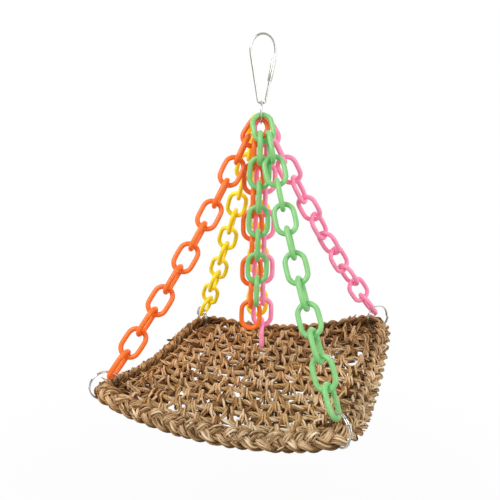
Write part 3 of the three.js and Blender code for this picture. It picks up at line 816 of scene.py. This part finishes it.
def grass_object(name, batches, material, palest=1.0):
    points, faces, caps_all, uvs, tones = [], [], [], [], []
    base = 0
    for batch in batches:
        shade = batch.pop("shade", None)
        made, quads, caps, uv, owner = sweep_blades(**batch)
        tone = palest * rng.random(len(batch["paths"]))[owner]
        points.append(made)
        faces.append(quads + base)
        caps_all += [[base + v for v in cap] for cap in caps]
        uvs.append(uv)
        if shade is not None:
            tone = tone * np.repeat(np.asarray(shade).ravel(), BLADE_SIDES)
        tones.append(tone)
        base += len(made)
    quads = np.concatenate(faces)
    mesh = bpy.data.meshes.new(name)
    mesh.from_pydata(np.concatenate(points), [], quads.tolist() + caps_all)
    grain = mesh.uv_layers.new(name="grain")
    cap_uv = np.zeros((sum(len(c) for c in caps_all), 2))
    grain.data.foreach_set("uv", np.concatenate(uvs + [cap_uv]).astype(np.float32).ravel())
    blade = mesh.attributes.new("blade", "FLOAT", "POINT")
    blade.data.foreach_set("value", np.concatenate(tones).astype(np.float32))
    mesh.materials.append(material)
    piece = bpy.data.objects.new(name, mesh)
    bpy.context.collection.objects.link(piece)
    bpy.ops.object.select_all(action="DESELECT")
    piece.select_set(True)
    bpy.context.view_layer.objects.active = piece
    bpy.ops.object.mode_set(mode="EDIT")
    bpy.ops.mesh.select_all(action="SELECT")
    bpy.ops.mesh.normals_make_consistent(inside=False)
    bpy.ops.object.mode_set(mode="OBJECT")
    bpy.ops.object.shade_smooth()
    print(name, len(mesh.polygons), "faces")
    return piece


# %% [markdown]
# Dried seagrass is matt and fibrous. Blades differ from straw to dark brown, with more khaki ones towards the
# near right side of this mat and redder ones at its back left, and fine fibres run along each one. The fibres
# are about a third of a millimetre apart on the real blade, and are drawn a little coarser here, so that they
# show.

# %% Seagrass
BLADE_GIRTH = 6 * MM
FIBRE_SPACING = 0.5 * MM
FIBRE_LENGTH = 14 * MM
FIBRE_HEIGHT = 0.5 * MM
FIBRE_DARK = 0.55
FIBRE_PALE = 1.25
PATCH_SIZE = 40 * MM
PATCH_DARK = 0.85
PATCH_PALE = 1.12
REDDER_SIDE = (-0.7, 0.7, 0)
REDDER_REACH = 90 * MM


def dried_seagrass(name, stops, back_tint):
    material, tree, shader = new_material(name)
    own = add_node(tree, "ShaderNodeAttribute", {"attribute_name": "blade"})
    grain = add_node(tree, "ShaderNodeUVMap", {"uv_map": "grain"})
    place = add_node(tree, "ShaderNodeTexCoord")
    stretch = add_node(
        tree,
        "ShaderNodeMapping",
        inputs={"Vector": grain.outputs[0], "Scale": (1 / FIBRE_LENGTH, BLADE_GIRTH / FIBRE_SPACING, 1)},
    )
    shift = add_node(
        tree,
        "ShaderNodeVectorMath",
        {"operation": "ADD"},
        {0: stretch.outputs[0], 1: own.outputs["Vector"]},
    )
    fibre = add_node(
        tree, "ShaderNodeTexNoise", inputs={"Vector": shift.outputs[0], "Scale": 1.0, "Detail": 3.0}
    )
    patch = add_node(
        tree,
        "ShaderNodeTexNoise",
        inputs={"Vector": place.outputs["Object"], "Scale": 1 / PATCH_SIZE, "Detail": 2.0},
    )
    blades = add_node(tree, "ShaderNodeValToRGB", inputs={"Fac": own.outputs["Fac"]})
    set_ramp(blades, stops)
    streak = add_node(
        tree,
        "ShaderNodeMapRange",
        inputs={
            "Value": fibre.outputs[0],
            "From Min": 0.25,
            "From Max": 0.75,
            "To Min": FIBRE_DARK,
            "To Max": FIBRE_PALE,
        },
    )
    aged = add_node(
        tree,
        "ShaderNodeMapRange",
        inputs={
            "Value": patch.outputs[0],
            "From Min": 0.3,
            "From Max": 0.7,
            "To Min": PATCH_DARK,
            "To Max": PATCH_PALE,
        },
    )
    shade = add_node(
        tree, "ShaderNodeMath", {"operation": "MULTIPLY"}, {0: streak.outputs[0], 1: aged.outputs[0]}
    )
    colour = add_node(
        tree,
        "ShaderNodeVectorMath",
        {"operation": "SCALE"},
        {0: blades.outputs[0], "Scale": shade.outputs[0]},
    )
    backwards = add_node(
        tree,
        "ShaderNodeVectorMath",
        {"operation": "DOT_PRODUCT"},
        {0: place.outputs["Object"], 1: REDDER_SIDE},
    )
    depth = add_node(
        tree,
        "ShaderNodeMapRange",
        inputs={"Value": backwards.outputs["Value"], "From Min": -REDDER_REACH, "From Max": REDDER_REACH},
    )
    tint = add_node(tree, "ShaderNodeValToRGB", inputs={"Fac": depth.outputs[0]})
    set_ramp(tint, [(0.0, "#FFFFFF"), (1.0, back_tint)])
    tinted = add_node(
        tree, "ShaderNodeVectorMath", {"operation": "MULTIPLY"}, {0: colour.outputs[0], 1: tint.outputs[0]}
    )
    bump = add_node(
        tree,
        "ShaderNodeBump",
        inputs={"Height": fibre.outputs[0], "Strength": 0.6, "Distance": FIBRE_HEIGHT},
    )
    tree.links.new(tinted.outputs[0], shader.inputs["Base Color"])
    tree.links.new(bump.outputs[0], shader.inputs["Normal"])
    shader.inputs["Roughness"].default_value = 0.72
    shader.inputs["Specular IOR Level"].default_value = 0.25
    return material


cord_grass = dried_seagrass(
    "dried_seagrass_cord",
    [(0.0, "#562E08"), (0.12, "#94683A"), (0.35, "#BA9662"), (0.7, "#D2B286"), (1.0, "#E4CEAE")],
    "#FFEADA",
)
plait_grass = dried_seagrass(
    "dried_seagrass_plait",
    [(0.0, "#321C04"), (0.12, "#765630"), (0.35, "#B8946A"), (0.7, "#D4B68E"), (1.0, "#ECD8BA")],
    "#F4DABA",
)
print("grasses:", cord_grass.name, plait_grass.name)

# %% [markdown]
# The mat hangs from its corners, so it is highest there and sags along the edges and in the middle. The pink
# corner is held higher than the others. The outline is a rounded square, and rows keep to it by being
# squeezed in towards the corners.

# %% Shape of the mat
MAT_BORDER_HALF = 109 * MM
MAT_NET_HALF = 100.7 * MM
MAT_CORNER = 99.95 * MM
MAT_SQUARENESS = 8
RING_ABOVE_BORDER = 4.57 * MM
MAT_EDGE_SAG = 13 * MM
MAT_DISH = 4 * MM


def mat_height(x, y):
    hung = np.zeros_like(x)
    for chain in CHAINS.values():
        corner_x, corner_y, corner_z = np.array(chain["ring"]) * MM
        share = (1 + np.sign(corner_x) * x / MAT_CORNER) * (1 + np.sign(corner_y) * y / MAT_CORNER) / 4
        hung = hung + share * (corner_z - RING_ABOVE_BORDER)
    edge = 1 - (x * y) ** 2 / MAT_CORNER**4
    dish = (1 - (x / MAT_BORDER_HALF) ** 2) * (1 - (y / MAT_BORDER_HALF) ** 2)
    return hung - MAT_EDGE_SAG * edge - MAT_DISH * dish


def on_mat(u, v, lift):
    """Points over the mat: u along the rows, v across them, both before the corners are squeezed in."""
    u, v, lift = np.broadcast_arrays(np.asarray(u, float), np.asarray(v, float), np.asarray(lift, float))
    reach = np.maximum(np.abs(u), np.abs(v))
    far = np.maximum(np.hypot(u, v), TINY)
    power = MAT_SQUARENESS
    roundness = ((np.abs(u) / far) ** power + (np.abs(v) / far) ** power) ** (-1 / power)
    x, y = u * roundness * reach / far, v * roundness * reach / far
    return np.stack([x, y, mat_height(x, y) + lift], axis=-1)


print("middle of the mat:", (on_mat(0, 0, 0) / MM).round(1), "mm")

# %% [markdown]
# Eleven rows run from side to side. A row is a cord of three blades that are wound round each other, with
# their flat sides out. The stitches pull it to and fro, so it wavers.

# %% Rows of cord
ROWS = 11
ROW_GAP = 3.2 * MM
ROW_TUCK = 6 * MM
ROW_STEPS = 120
ROW_WAVER = 1.6 * MM
ROW_DRIFT = 1.2 * MM
DRIFT_LENGTH = 70 * MM
ROW_LIFT = 1.6 * MM
STITCH_SPACING = 16 * MM
CORD_INSET = 2.3 * MM
ROW_PLIES = 3
CORD_TWIST = 26 * MM
PLY_RADIUS = 1.3 * MM
BLADE_WIDTH = 3.0 * MM
BLADE_THICKNESS = 1.9 * MM
CORNER_HOLE = 8 * MM
TWIST_SPREAD = (0.85, 1.15)
WIDTH_SPREAD = (0.75, 1.15)

row_width = (2 * MAT_NET_HALF - (ROWS - 1) * ROW_GAP) / ROWS
row_pitch = row_width + ROW_GAP
row_places = -MAT_NET_HALF + row_width / 2 + row_pitch * np.arange(ROWS)


def wind(length, twist_length, ply_radius, plies):
    """Sideways and upward offsets of the blades of a twisted cord, and how far each is rolled."""
    turn = 2 * np.pi * length / twist_length + rng.uniform(0, 2 * np.pi)
    angles = turn + 2 * np.pi * np.arange(plies)[:, None] / plies
    return ply_radius * np.cos(angles), ply_radius * np.sin(angles), angles + np.pi / 2


def blade_batch(paths, twist, share=1.0, shade=1.0):
    paths = np.array(paths)
    return {
        "paths": paths,
        "width": BLADE_WIDTH * share * rng.uniform(*WIDTH_SPREAD, len(paths)),
        "thickness": BLADE_THICKNESS,
        "twist": np.array(twist),
        "shade": np.broadcast_to(shade, paths.shape[:2]),
    }


row_batches = []
for k, v_row in enumerate(row_places):
    at_edge = k in (0, ROWS - 1)
    reach = MAT_NET_HALF - CORNER_HOLE if at_edge else MAT_NET_HALF + ROW_TUCK
    u = np.linspace(-reach, reach, ROW_STEPS)
    waver = ROW_WAVER * np.sin(np.pi * u / STITCH_SPACING + k * np.pi)
    waver = waver + ROW_DRIFT * np.sin(2 * np.pi * (u / DRIFT_LENGTH + rng.random()))
    aside, above, roll = wind(u, CORD_TWIST * rng.uniform(*TWIST_SPREAD), PLY_RADIUS, ROW_PLIES)
    row_batches.append(blade_batch(on_mat(u, v_row + waver + aside, ROW_LIFT + above), roll))
for side in (-1, 1):
    v = np.linspace(-1, 1, ROW_STEPS) * (MAT_NET_HALF - CORNER_HOLE)
    aside, above, roll = wind(v, side * CORD_TWIST, PLY_RADIUS, ROW_PLIES)
    row_batches.append(blade_batch(on_mat(side * (MAT_NET_HALF - CORD_INSET) + aside, v, above), roll))
rows = grass_object("seagrass_rows", row_batches, cord_grass)

# %% [markdown]
# From every stitch, twisted pairs of long blades go to the nearest stitches on the row in front, one to
# either side, which makes a zigzag. The mat is pulled out of square, so the zigzag leans a little to the
# right. A leg gets darker towards its foot, where it goes down into the shade of the next stitch.

# %% Legs of the zigzag
LEG_STEPS = 12
LEG_TWIST = 44 * MM
LEG_PLY_RADIUS = 1.1 * MM
LEG_PLIES = 2
LEG_WIDTH_SHARE = 0.8
LEG_TOP = 3.2 * MM
LEG_FOOT = -2.4 * MM
LEG_BULGE = 0.6 * MM
LEG_STRAY = 1 * MM
LEG_REACH = 0.75 * STITCH_SPACING
FOOT_SHADE = 0.55
MAT_SKEW = 0.33
STITCH_JITTER = 2 * MM
JITTER_ALONG = 2.4
JITTER_ACROSS = 1.7
EDGE_MARGIN = 2 * MM
LACE_SHARE = 0.7


def stitch_columns(k):
    shift = (k * (STITCH_SPACING / 2 - MAT_SKEW * row_pitch)) % STITCH_SPACING
    half = int(MAT_NET_HALF / STITCH_SPACING) + 1
    columns = np.arange(-half, half + 1) * STITCH_SPACING + shift
    wave = np.sin(columns / STITCH_SPACING * JITTER_ALONG + JITTER_ACROSS * k)
    columns = columns + STITCH_JITTER * wave
    reach = MAT_NET_HALF - (EDGE_MARGIN if 0 < k < ROWS - 1 else CORNER_HOLE)
    return columns[np.abs(columns) < reach]


lace_gap = row_pitch * LACE_SHARE
line_places = np.concatenate([[row_places[0] - lace_gap], row_places, [row_places[-1] + lace_gap]])
leg_batches = []
share = np.linspace(0, 1, LEG_STEPS)
for k in range(ROWS + 1):
    near_line = line_places[k]
    far_line = line_places[k + 1]
    gap = far_line - near_line
    for u_from in stitch_columns(k):
        for u_to in stitch_columns(k - 1):
            if abs(u_to - u_from - MAT_SKEW * gap) > LEG_REACH:
                continue
            line_u = u_from + (u_to - u_from) * share + rng.uniform(-LEG_STRAY, LEG_STRAY)
            line_v = far_line - gap * share
            lift = LEG_TOP + (LEG_FOOT - LEG_TOP) * share + LEG_BULGE * np.sin(np.pi * share)
            run = np.hypot(u_to - u_from, gap)
            aside, above, roll = wind(share * run, LEG_TWIST, LEG_PLY_RADIUS, LEG_PLIES)
            slant = (u_to - u_from) / run
            paths = on_mat(line_u + aside * gap / run, line_v + aside * slant, lift + above)
            leg_batches.append(blade_batch(paths, roll, LEG_WIDTH_SHARE, 1 - FOOT_SHADE * share**2))
print("legs:", len(leg_batches))

# %% [markdown]
# Over the row, a stitch is a fan of two or three short blades. They close round the cord and open towards the
# front. Two more blades close the stitch below.

# %% Stitches over the rows
WRAP_STEPS = 14
WRAP_START = -0.6
WRAP_END = 0.65
WRAP_REACH = 6.0 * MM
WRAP_RISE = 4.8 * MM
WRAP_NECK = 1.3 * MM
WRAP_FOOT = 2.2 * MM
WRAP_FLARE = 1.5
WRAP_LEAN = 2 * MM
WRAP_WIDTH_SHARE = 0.8
FEWEST_WRAPS = 2
MOST_WRAPS = 3
PLACE_STRAY = 0.25
REACH_SPREAD = (0.85, 1.15)
RISE_SPREAD = (0.85, 1.1)
WRAP_ROLL = 0.5
WRAP_TWIST = 0.8
UNDER_STEPS = 8
UNDER_ASIDE = 1.3 * MM
UNDER_TOP = -2.8 * MM
UNDER_DROP = 3.4 * MM
UNDER_SPREAD = (0.8, 1.1)
UNDER_ROLL = 0.4

wrap_batches = []
arch = np.linspace(WRAP_START, WRAP_END, WRAP_STEPS) * np.pi
opened = np.linspace(0, 1, WRAP_STEPS) ** WRAP_FLARE
wrap_shade = 1 - FOOT_SHADE * (1 - np.cos(arch)) ** 2
under = np.linspace(-1, 1, UNDER_STEPS)
under_lift = UNDER_TOP - UNDER_DROP * np.cos(under * np.pi / 2)
for k in range(ROWS):
    for u_node in stitch_columns(k):
        lean = rng.uniform(-WRAP_LEAN, WRAP_LEAN)
        blades = rng.integers(FEWEST_WRAPS, MOST_WRAPS + 1)
        paths, turns = [], []
        for blade in range(blades):
            place = blade - (blades - 1) / 2 + rng.uniform(-PLACE_STRAY, PLACE_STRAY)
            front = WRAP_REACH * rng.uniform(*REACH_SPREAD) * np.sin(arch)
            line_u = u_node + place * (WRAP_NECK + WRAP_FOOT * opened) + lean * opened + MAT_SKEW * front
            lift = WRAP_RISE * rng.uniform(*RISE_SPREAD) * np.cos(arch)
            paths.append(on_mat(line_u, row_places[k] - front, lift))
            roll = rng.uniform(-WRAP_ROLL, WRAP_ROLL)
            turns.append(roll + np.linspace(0, rng.uniform(-WRAP_TWIST, WRAP_TWIST), WRAP_STEPS))
        wrap_batches.append(blade_batch(paths, turns, WRAP_WIDTH_SHARE, wrap_shade))
        for aside in (-UNDER_ASIDE, UNDER_ASIDE):
            front = WRAP_REACH * under * rng.uniform(*UNDER_SPREAD)
            line_u = u_node + aside * (1 + under**2) + MAT_SKEW * front
            path = on_mat(line_u, row_places[k] - front, under_lift)
            roll = np.full(UNDER_STEPS, rng.uniform(-UNDER_ROLL, UNDER_ROLL))
            wrap_batches.append(blade_batch([path], [roll], WRAP_WIDTH_SHARE))
wraps = grass_object("seagrass_wraps", wrap_batches, cord_grass)
legs = grass_object("seagrass_legs", leg_batches, cord_grass)

# %% [markdown]
# The zigzag leaves three-sided openings. In most of them the cords of the back of the mat show: they run the
# same way as the rows, lower down, and look darker, as they keep to the shade. They stop at the openings
# that are left, where white shows through. From below they are what is seen.

# %% Back of the mat
BACK_CORDS = 4
BACK_PLIES = 2
BACK_PLY_RADIUS = 1.0 * MM
BACK_STEP = 2.4 * MM
BACK_LEAST_STEPS = 8
BACK_LAP = 0.9 * MM
BACK_SPACING = 4.65 * MM
BACK_SHIFT = 4 * MM
BACK_DEPTH = -3.2 * MM
BACK_TUCK = 4 * MM
BACK_REACH = MAT_NET_HALF + BACK_TUCK
BACK_WIDTH_SHARE = 1.3
BACK_TAPER = 0.8
BACK_PALEST = 0.38
OPEN_IN_FRONT = 0.4
OPEN_AT_BACK = 0.24

back_batches = []
for k in range(ROWS + 1):
    outer = k in (0, ROWS)
    between = (line_places[k] + line_places[k + 1]) / 2 + (0 if outer else BACK_SHIFT)
    open_share = np.interp(between, [-MAT_NET_HALF, MAT_NET_HALF], [OPEN_IN_FRONT, OPEN_AT_BACK])
    lean = MAT_SKEW * row_pitch / 2
    nodes = np.sort(np.concatenate([stitch_columns(k - 1) - lean, stitch_columns(k) + lean]))
    limits = np.concatenate([[-BACK_REACH], (nodes[1:] + nodes[:-1]) / 2, [BACK_REACH]])
    runs = []
    for u_from, u_to in zip(limits[:-1], limits[1:]):
        at_side = max(-u_from, u_to) > MAT_NET_HALF - EDGE_MARGIN
        if (at_side and k == 0) or (not at_side and rng.random() < open_share):
            continue
        if runs and runs[-1][1] == u_from:
            runs[-1][1] = u_to
        else:
            runs.append([u_from, u_to])
    for u_from, u_to in runs:
        steps = max(BACK_LEAST_STEPS, int((u_to - u_from) / BACK_STEP))
        u = np.linspace(u_from - BACK_LAP, u_to + BACK_LAP, steps)
        for cord in range(BACK_CORDS):
            twist_length = CORD_TWIST * rng.uniform(*TWIST_SPREAD)
            aside, above, roll = wind(u, twist_length, BACK_PLY_RADIUS, BACK_PLIES)
            v = between + (cord - (BACK_CORDS - 1) / 2) * BACK_SPACING + aside
            paths = on_mat(u, np.clip(v, -BACK_REACH, BACK_REACH), BACK_DEPTH + above)
            back_batches.append(blade_batch(paths, roll, BACK_WIDTH_SHARE) | {"taper": BACK_TAPER})
back = grass_object("seagrass_back", back_batches, cord_grass, palest=BACK_PALEST)

# %% [markdown]
# The border follows the outline of the mat. Its line is cut into steps of one length, so that the plait on it
# keeps an even pitch round the corners. At each step three directions are kept: ahead, out from the mat, and
# up from its face. The plait is rolled outwards, so its chevrons face out and up, as they do along the front
# edge.

# %% Line of the border
BORDER_STEPS = 640
OUTLINE_SAMPLES = 4000
PLAIT_ROLL = math.radians(35)


def outline(angle):
    power = MAT_SQUARENESS
    roundness = (np.abs(np.cos(angle)) ** power + np.abs(np.sin(angle)) ** power) ** (-1 / power)
    return MAT_BORDER_HALF * roundness * np.cos(angle), MAT_BORDER_HALF * roundness * np.sin(angle)


fine = np.linspace(0, 2 * np.pi, OUTLINE_SAMPLES + 1)
fine_x, fine_y = outline(fine)
fine_length = np.concatenate([[0], np.cumsum(np.hypot(np.diff(fine_x), np.diff(fine_y)))])
perimeter = fine_length[-1]
even = np.arange(BORDER_STEPS) / BORDER_STEPS
border_x, border_y = outline(np.interp(even * perimeter, fine_length, fine))
border_line = np.stack([border_x, border_y, mat_height(border_x, border_y)], axis=-1)
ahead = unit(np.roll(border_line, -1, axis=0) - np.roll(border_line, 1, axis=0))
flat_out = unit(np.cross(ahead, UPWARD))
face_up = np.cross(flat_out, ahead)
plait_across = flat_out * math.cos(PLAIT_ROLL) - face_up * math.sin(PLAIT_ROLL)
plait_face = face_up * math.cos(PLAIT_ROLL) + flat_out * math.sin(PLAIT_ROLL)
print("border:", round(perimeter / MM), "mm round, seen from above")

# %% [markdown]
# The border is a plait of three thick strands. In a flat plait, each strand swings from side to side once
# while it goes over and under twice, and the three follow each other a third of a turn apart. A strand is
# a flat bundle of blades that keep side by side. The turns are pulled uneven by two slow waves, as hand work
# is.

# %% Plaited border
STRANDS = 3
PLAIT_TURNS = 25
PLAIT_SWING = 5.2 * MM
PLAIT_EDGE = 0.11
PLAIT_UNEVEN = 0.28
LONG_WAVES = 7
SHORT_WAVES = 19
PLAIT_RISE = 2.5 * MM
STRAND_BLADES = 14
STRAND_HALF_WIDTH = 3.5 * MM
STRAND_FOLDED = 0.45
STRAND_HALF_HEIGHT = 1.7 * MM
STRAND_BLADE_WIDTH = 1.9 * MM
STRAND_BLADE_THICKNESS = 1.3 * MM
AROUND_STRAY = 0.15
BLADE_WANDER = 0.7 * MM
WANDER_WAVES = (20, 90)
HEIGHT_SPREAD = (0.8, 1.2)
GROOVE_SHADE = 0.8

slow_wave = np.sin(2 * np.pi * LONG_WAVES * even) + np.sin(2 * np.pi * SHORT_WAVES * even + 1)
strands = []
for strand in range(STRANDS):
    phase = 2 * np.pi * (PLAIT_TURNS * even + strand / STRANDS) + PLAIT_UNEVEN * slow_wave
    swing = PLAIT_SWING * (np.sin(phase) - PLAIT_EDGE * np.sin(3 * phase))
    rise = PLAIT_RISE * np.sin(2 * phase)
    steepness = np.cos(phase) - 3 * PLAIT_EDGE * np.cos(3 * phase)
    heading = np.arctan(PLAIT_SWING * steepness * 2 * np.pi * PLAIT_TURNS / perimeter)
    folded = 1 - STRAND_FOLDED * np.sin(phase) ** 4
    paths, turns, shades = [], [], []
    for blade in range(STRAND_BLADES):
        around = 2 * np.pi * blade / STRAND_BLADES + rng.uniform(-AROUND_STRAY, AROUND_STRAY)
        wander = BLADE_WANDER * np.sin(2 * np.pi * (rng.integers(*WANDER_WAVES) * even + rng.random()))
        place = STRAND_HALF_WIDTH * folded * np.cos(around) + wander
        height = STRAND_HALF_HEIGHT * np.sin(around) * rng.uniform(*HEIGHT_SPREAD) + wander
        aside = swing + place * np.cos(heading)
        along = -place * np.sin(heading)
        paths.append(
            border_line
            + aside[:, None] * plait_across
            + along[:, None] * ahead
            + (rise + height)[:, None] * plait_face
        )
        facing = np.arctan2(STRAND_HALF_HEIGHT * np.cos(around), -STRAND_HALF_WIDTH * np.sin(around))
        turns.append(np.full(BORDER_STEPS, PLAIT_ROLL - facing))
        depth = (PLAIT_RISE + STRAND_HALF_HEIGHT - rise - height) / (2 * PLAIT_RISE)
        shades.append(1 - GROOVE_SHADE * np.clip(depth, 0, 1))
    strand_batch = {
        "paths": np.array(paths),
        "width": STRAND_BLADE_WIDTH * rng.uniform(*WIDTH_SPREAD, STRAND_BLADES),
        "thickness": STRAND_BLADE_THICKNESS,
        "twist": np.array(turns),
        "closed": True,
        "shade": np.array(shades),
    }
    strands.append(grass_object(f"seagrass_strand_{strand + 1}", [strand_batch], plait_grass))

# %% [markdown]
# Blades end all over the mat, and their ends stick out. They are short, bent and thin, and they give the
# border the ragged outline that a plait of endless strands doesn't have.

# %% Loose ends
BORDER_ENDS = 110
NET_ENDS = 70
END_STEPS = 7
END_LENGTH = 7 * MM
END_WIDTH = 2.0 * MM
END_WIDTH_SPREAD = (0.6, 1.2)
END_THICKNESS = 0.8 * MM
END_TIP = 0.15
END_ROOT = 3 * MM
BORDER_END_PLACES = (-4 * MM, 6 * MM)
BORDER_END_OUT = (0.2, 1.0)
BORDER_END_UP = (-0.7, 0.9)
BORDER_END_AHEAD = (0.6, 1.4)
BORDER_END_TURN = 0.6
BORDER_END_LENGTHS = (0.5, 1.2)
BORDER_END_BEND = (0.0, 0.3)
NET_END_FIELD = 0.92
NET_END_UP = (0.0, 0.5)
NET_END_LENGTHS = (0.4, 1.0)
NET_END_DROOP = (0.0, 0.4)

end_share = np.linspace(0, 1, END_STEPS)[:, None]


def bent_end(root, way, bend, length):
    """Path of a blade's end that leaves its root one way and bends off another way."""
    return root + way * (end_share * length) + bend * (end_share**2 * length)


ends = []
for i in rng.integers(0, BORDER_STEPS, BORDER_ENDS):
    out = flat_out[i] * rng.uniform(*BORDER_END_OUT) + face_up[i] * rng.uniform(*BORDER_END_UP)
    root = border_line[i] + plait_face[i] * END_ROOT + plait_across[i] * rng.uniform(*BORDER_END_PLACES)
    forward = ahead[i] * rng.choice([-1, 1]) * rng.uniform(*BORDER_END_AHEAD)
    way = unit(forward + out * BORDER_END_TURN)
    length = END_LENGTH * rng.uniform(*BORDER_END_LENGTHS)
    ends.append(bent_end(root, way, unit(out) * rng.uniform(*BORDER_END_BEND), length))
for _ in range(NET_ENDS):
    u, v = rng.uniform(-NET_END_FIELD, NET_END_FIELD, 2) * MAT_NET_HALF
    root = on_mat(u, v, END_ROOT)
    heading = rng.uniform(0, 2 * np.pi)
    way = np.array([np.cos(heading), np.sin(heading), rng.uniform(*NET_END_UP)])
    length = END_LENGTH * rng.uniform(*NET_END_LENGTHS)
    ends.append(bent_end(root, way, -UPWARD * rng.uniform(*NET_END_DROOP), length))
ends = np.array(ends)
end_turns = np.repeat(rng.uniform(0, np.pi, len(ends))[:, None], END_STEPS, axis=1)
end_batch = {
    "paths": ends,
    "width": END_WIDTH * rng.uniform(*END_WIDTH_SPREAD, len(ends)),
    "thickness": END_THICKNESS,
    "twist": end_turns,
    "taper": END_TIP,
}
loose_ends = grass_object("seagrass_loose_ends", [end_batch], plait_grass)

# %% [markdown]
# All the grass hangs on the corner chains, so it swings as one body with them. The cords stand for the solid
# of the net, and the plait with its loose ends for the solid of the border.

# %% Places of the grass
grass_pieces = [
    (rows, "mat_net", "seagrass_cord"),
    (wraps, "mat_net", "seagrass_cord"),
    (legs, "mat_net", "seagrass_cord"),
    (back, "mat_net", "seagrass_cord"),
    *((strand, "mat_border", "seagrass_plait") for strand in strands),
    (loose_ends, "mat_border", "seagrass_plait"),
]
for piece, node, slot in grass_pieces:
    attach(piece, "swing")
    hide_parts(node)
print("pieces of grass:", len(grass_pieces))
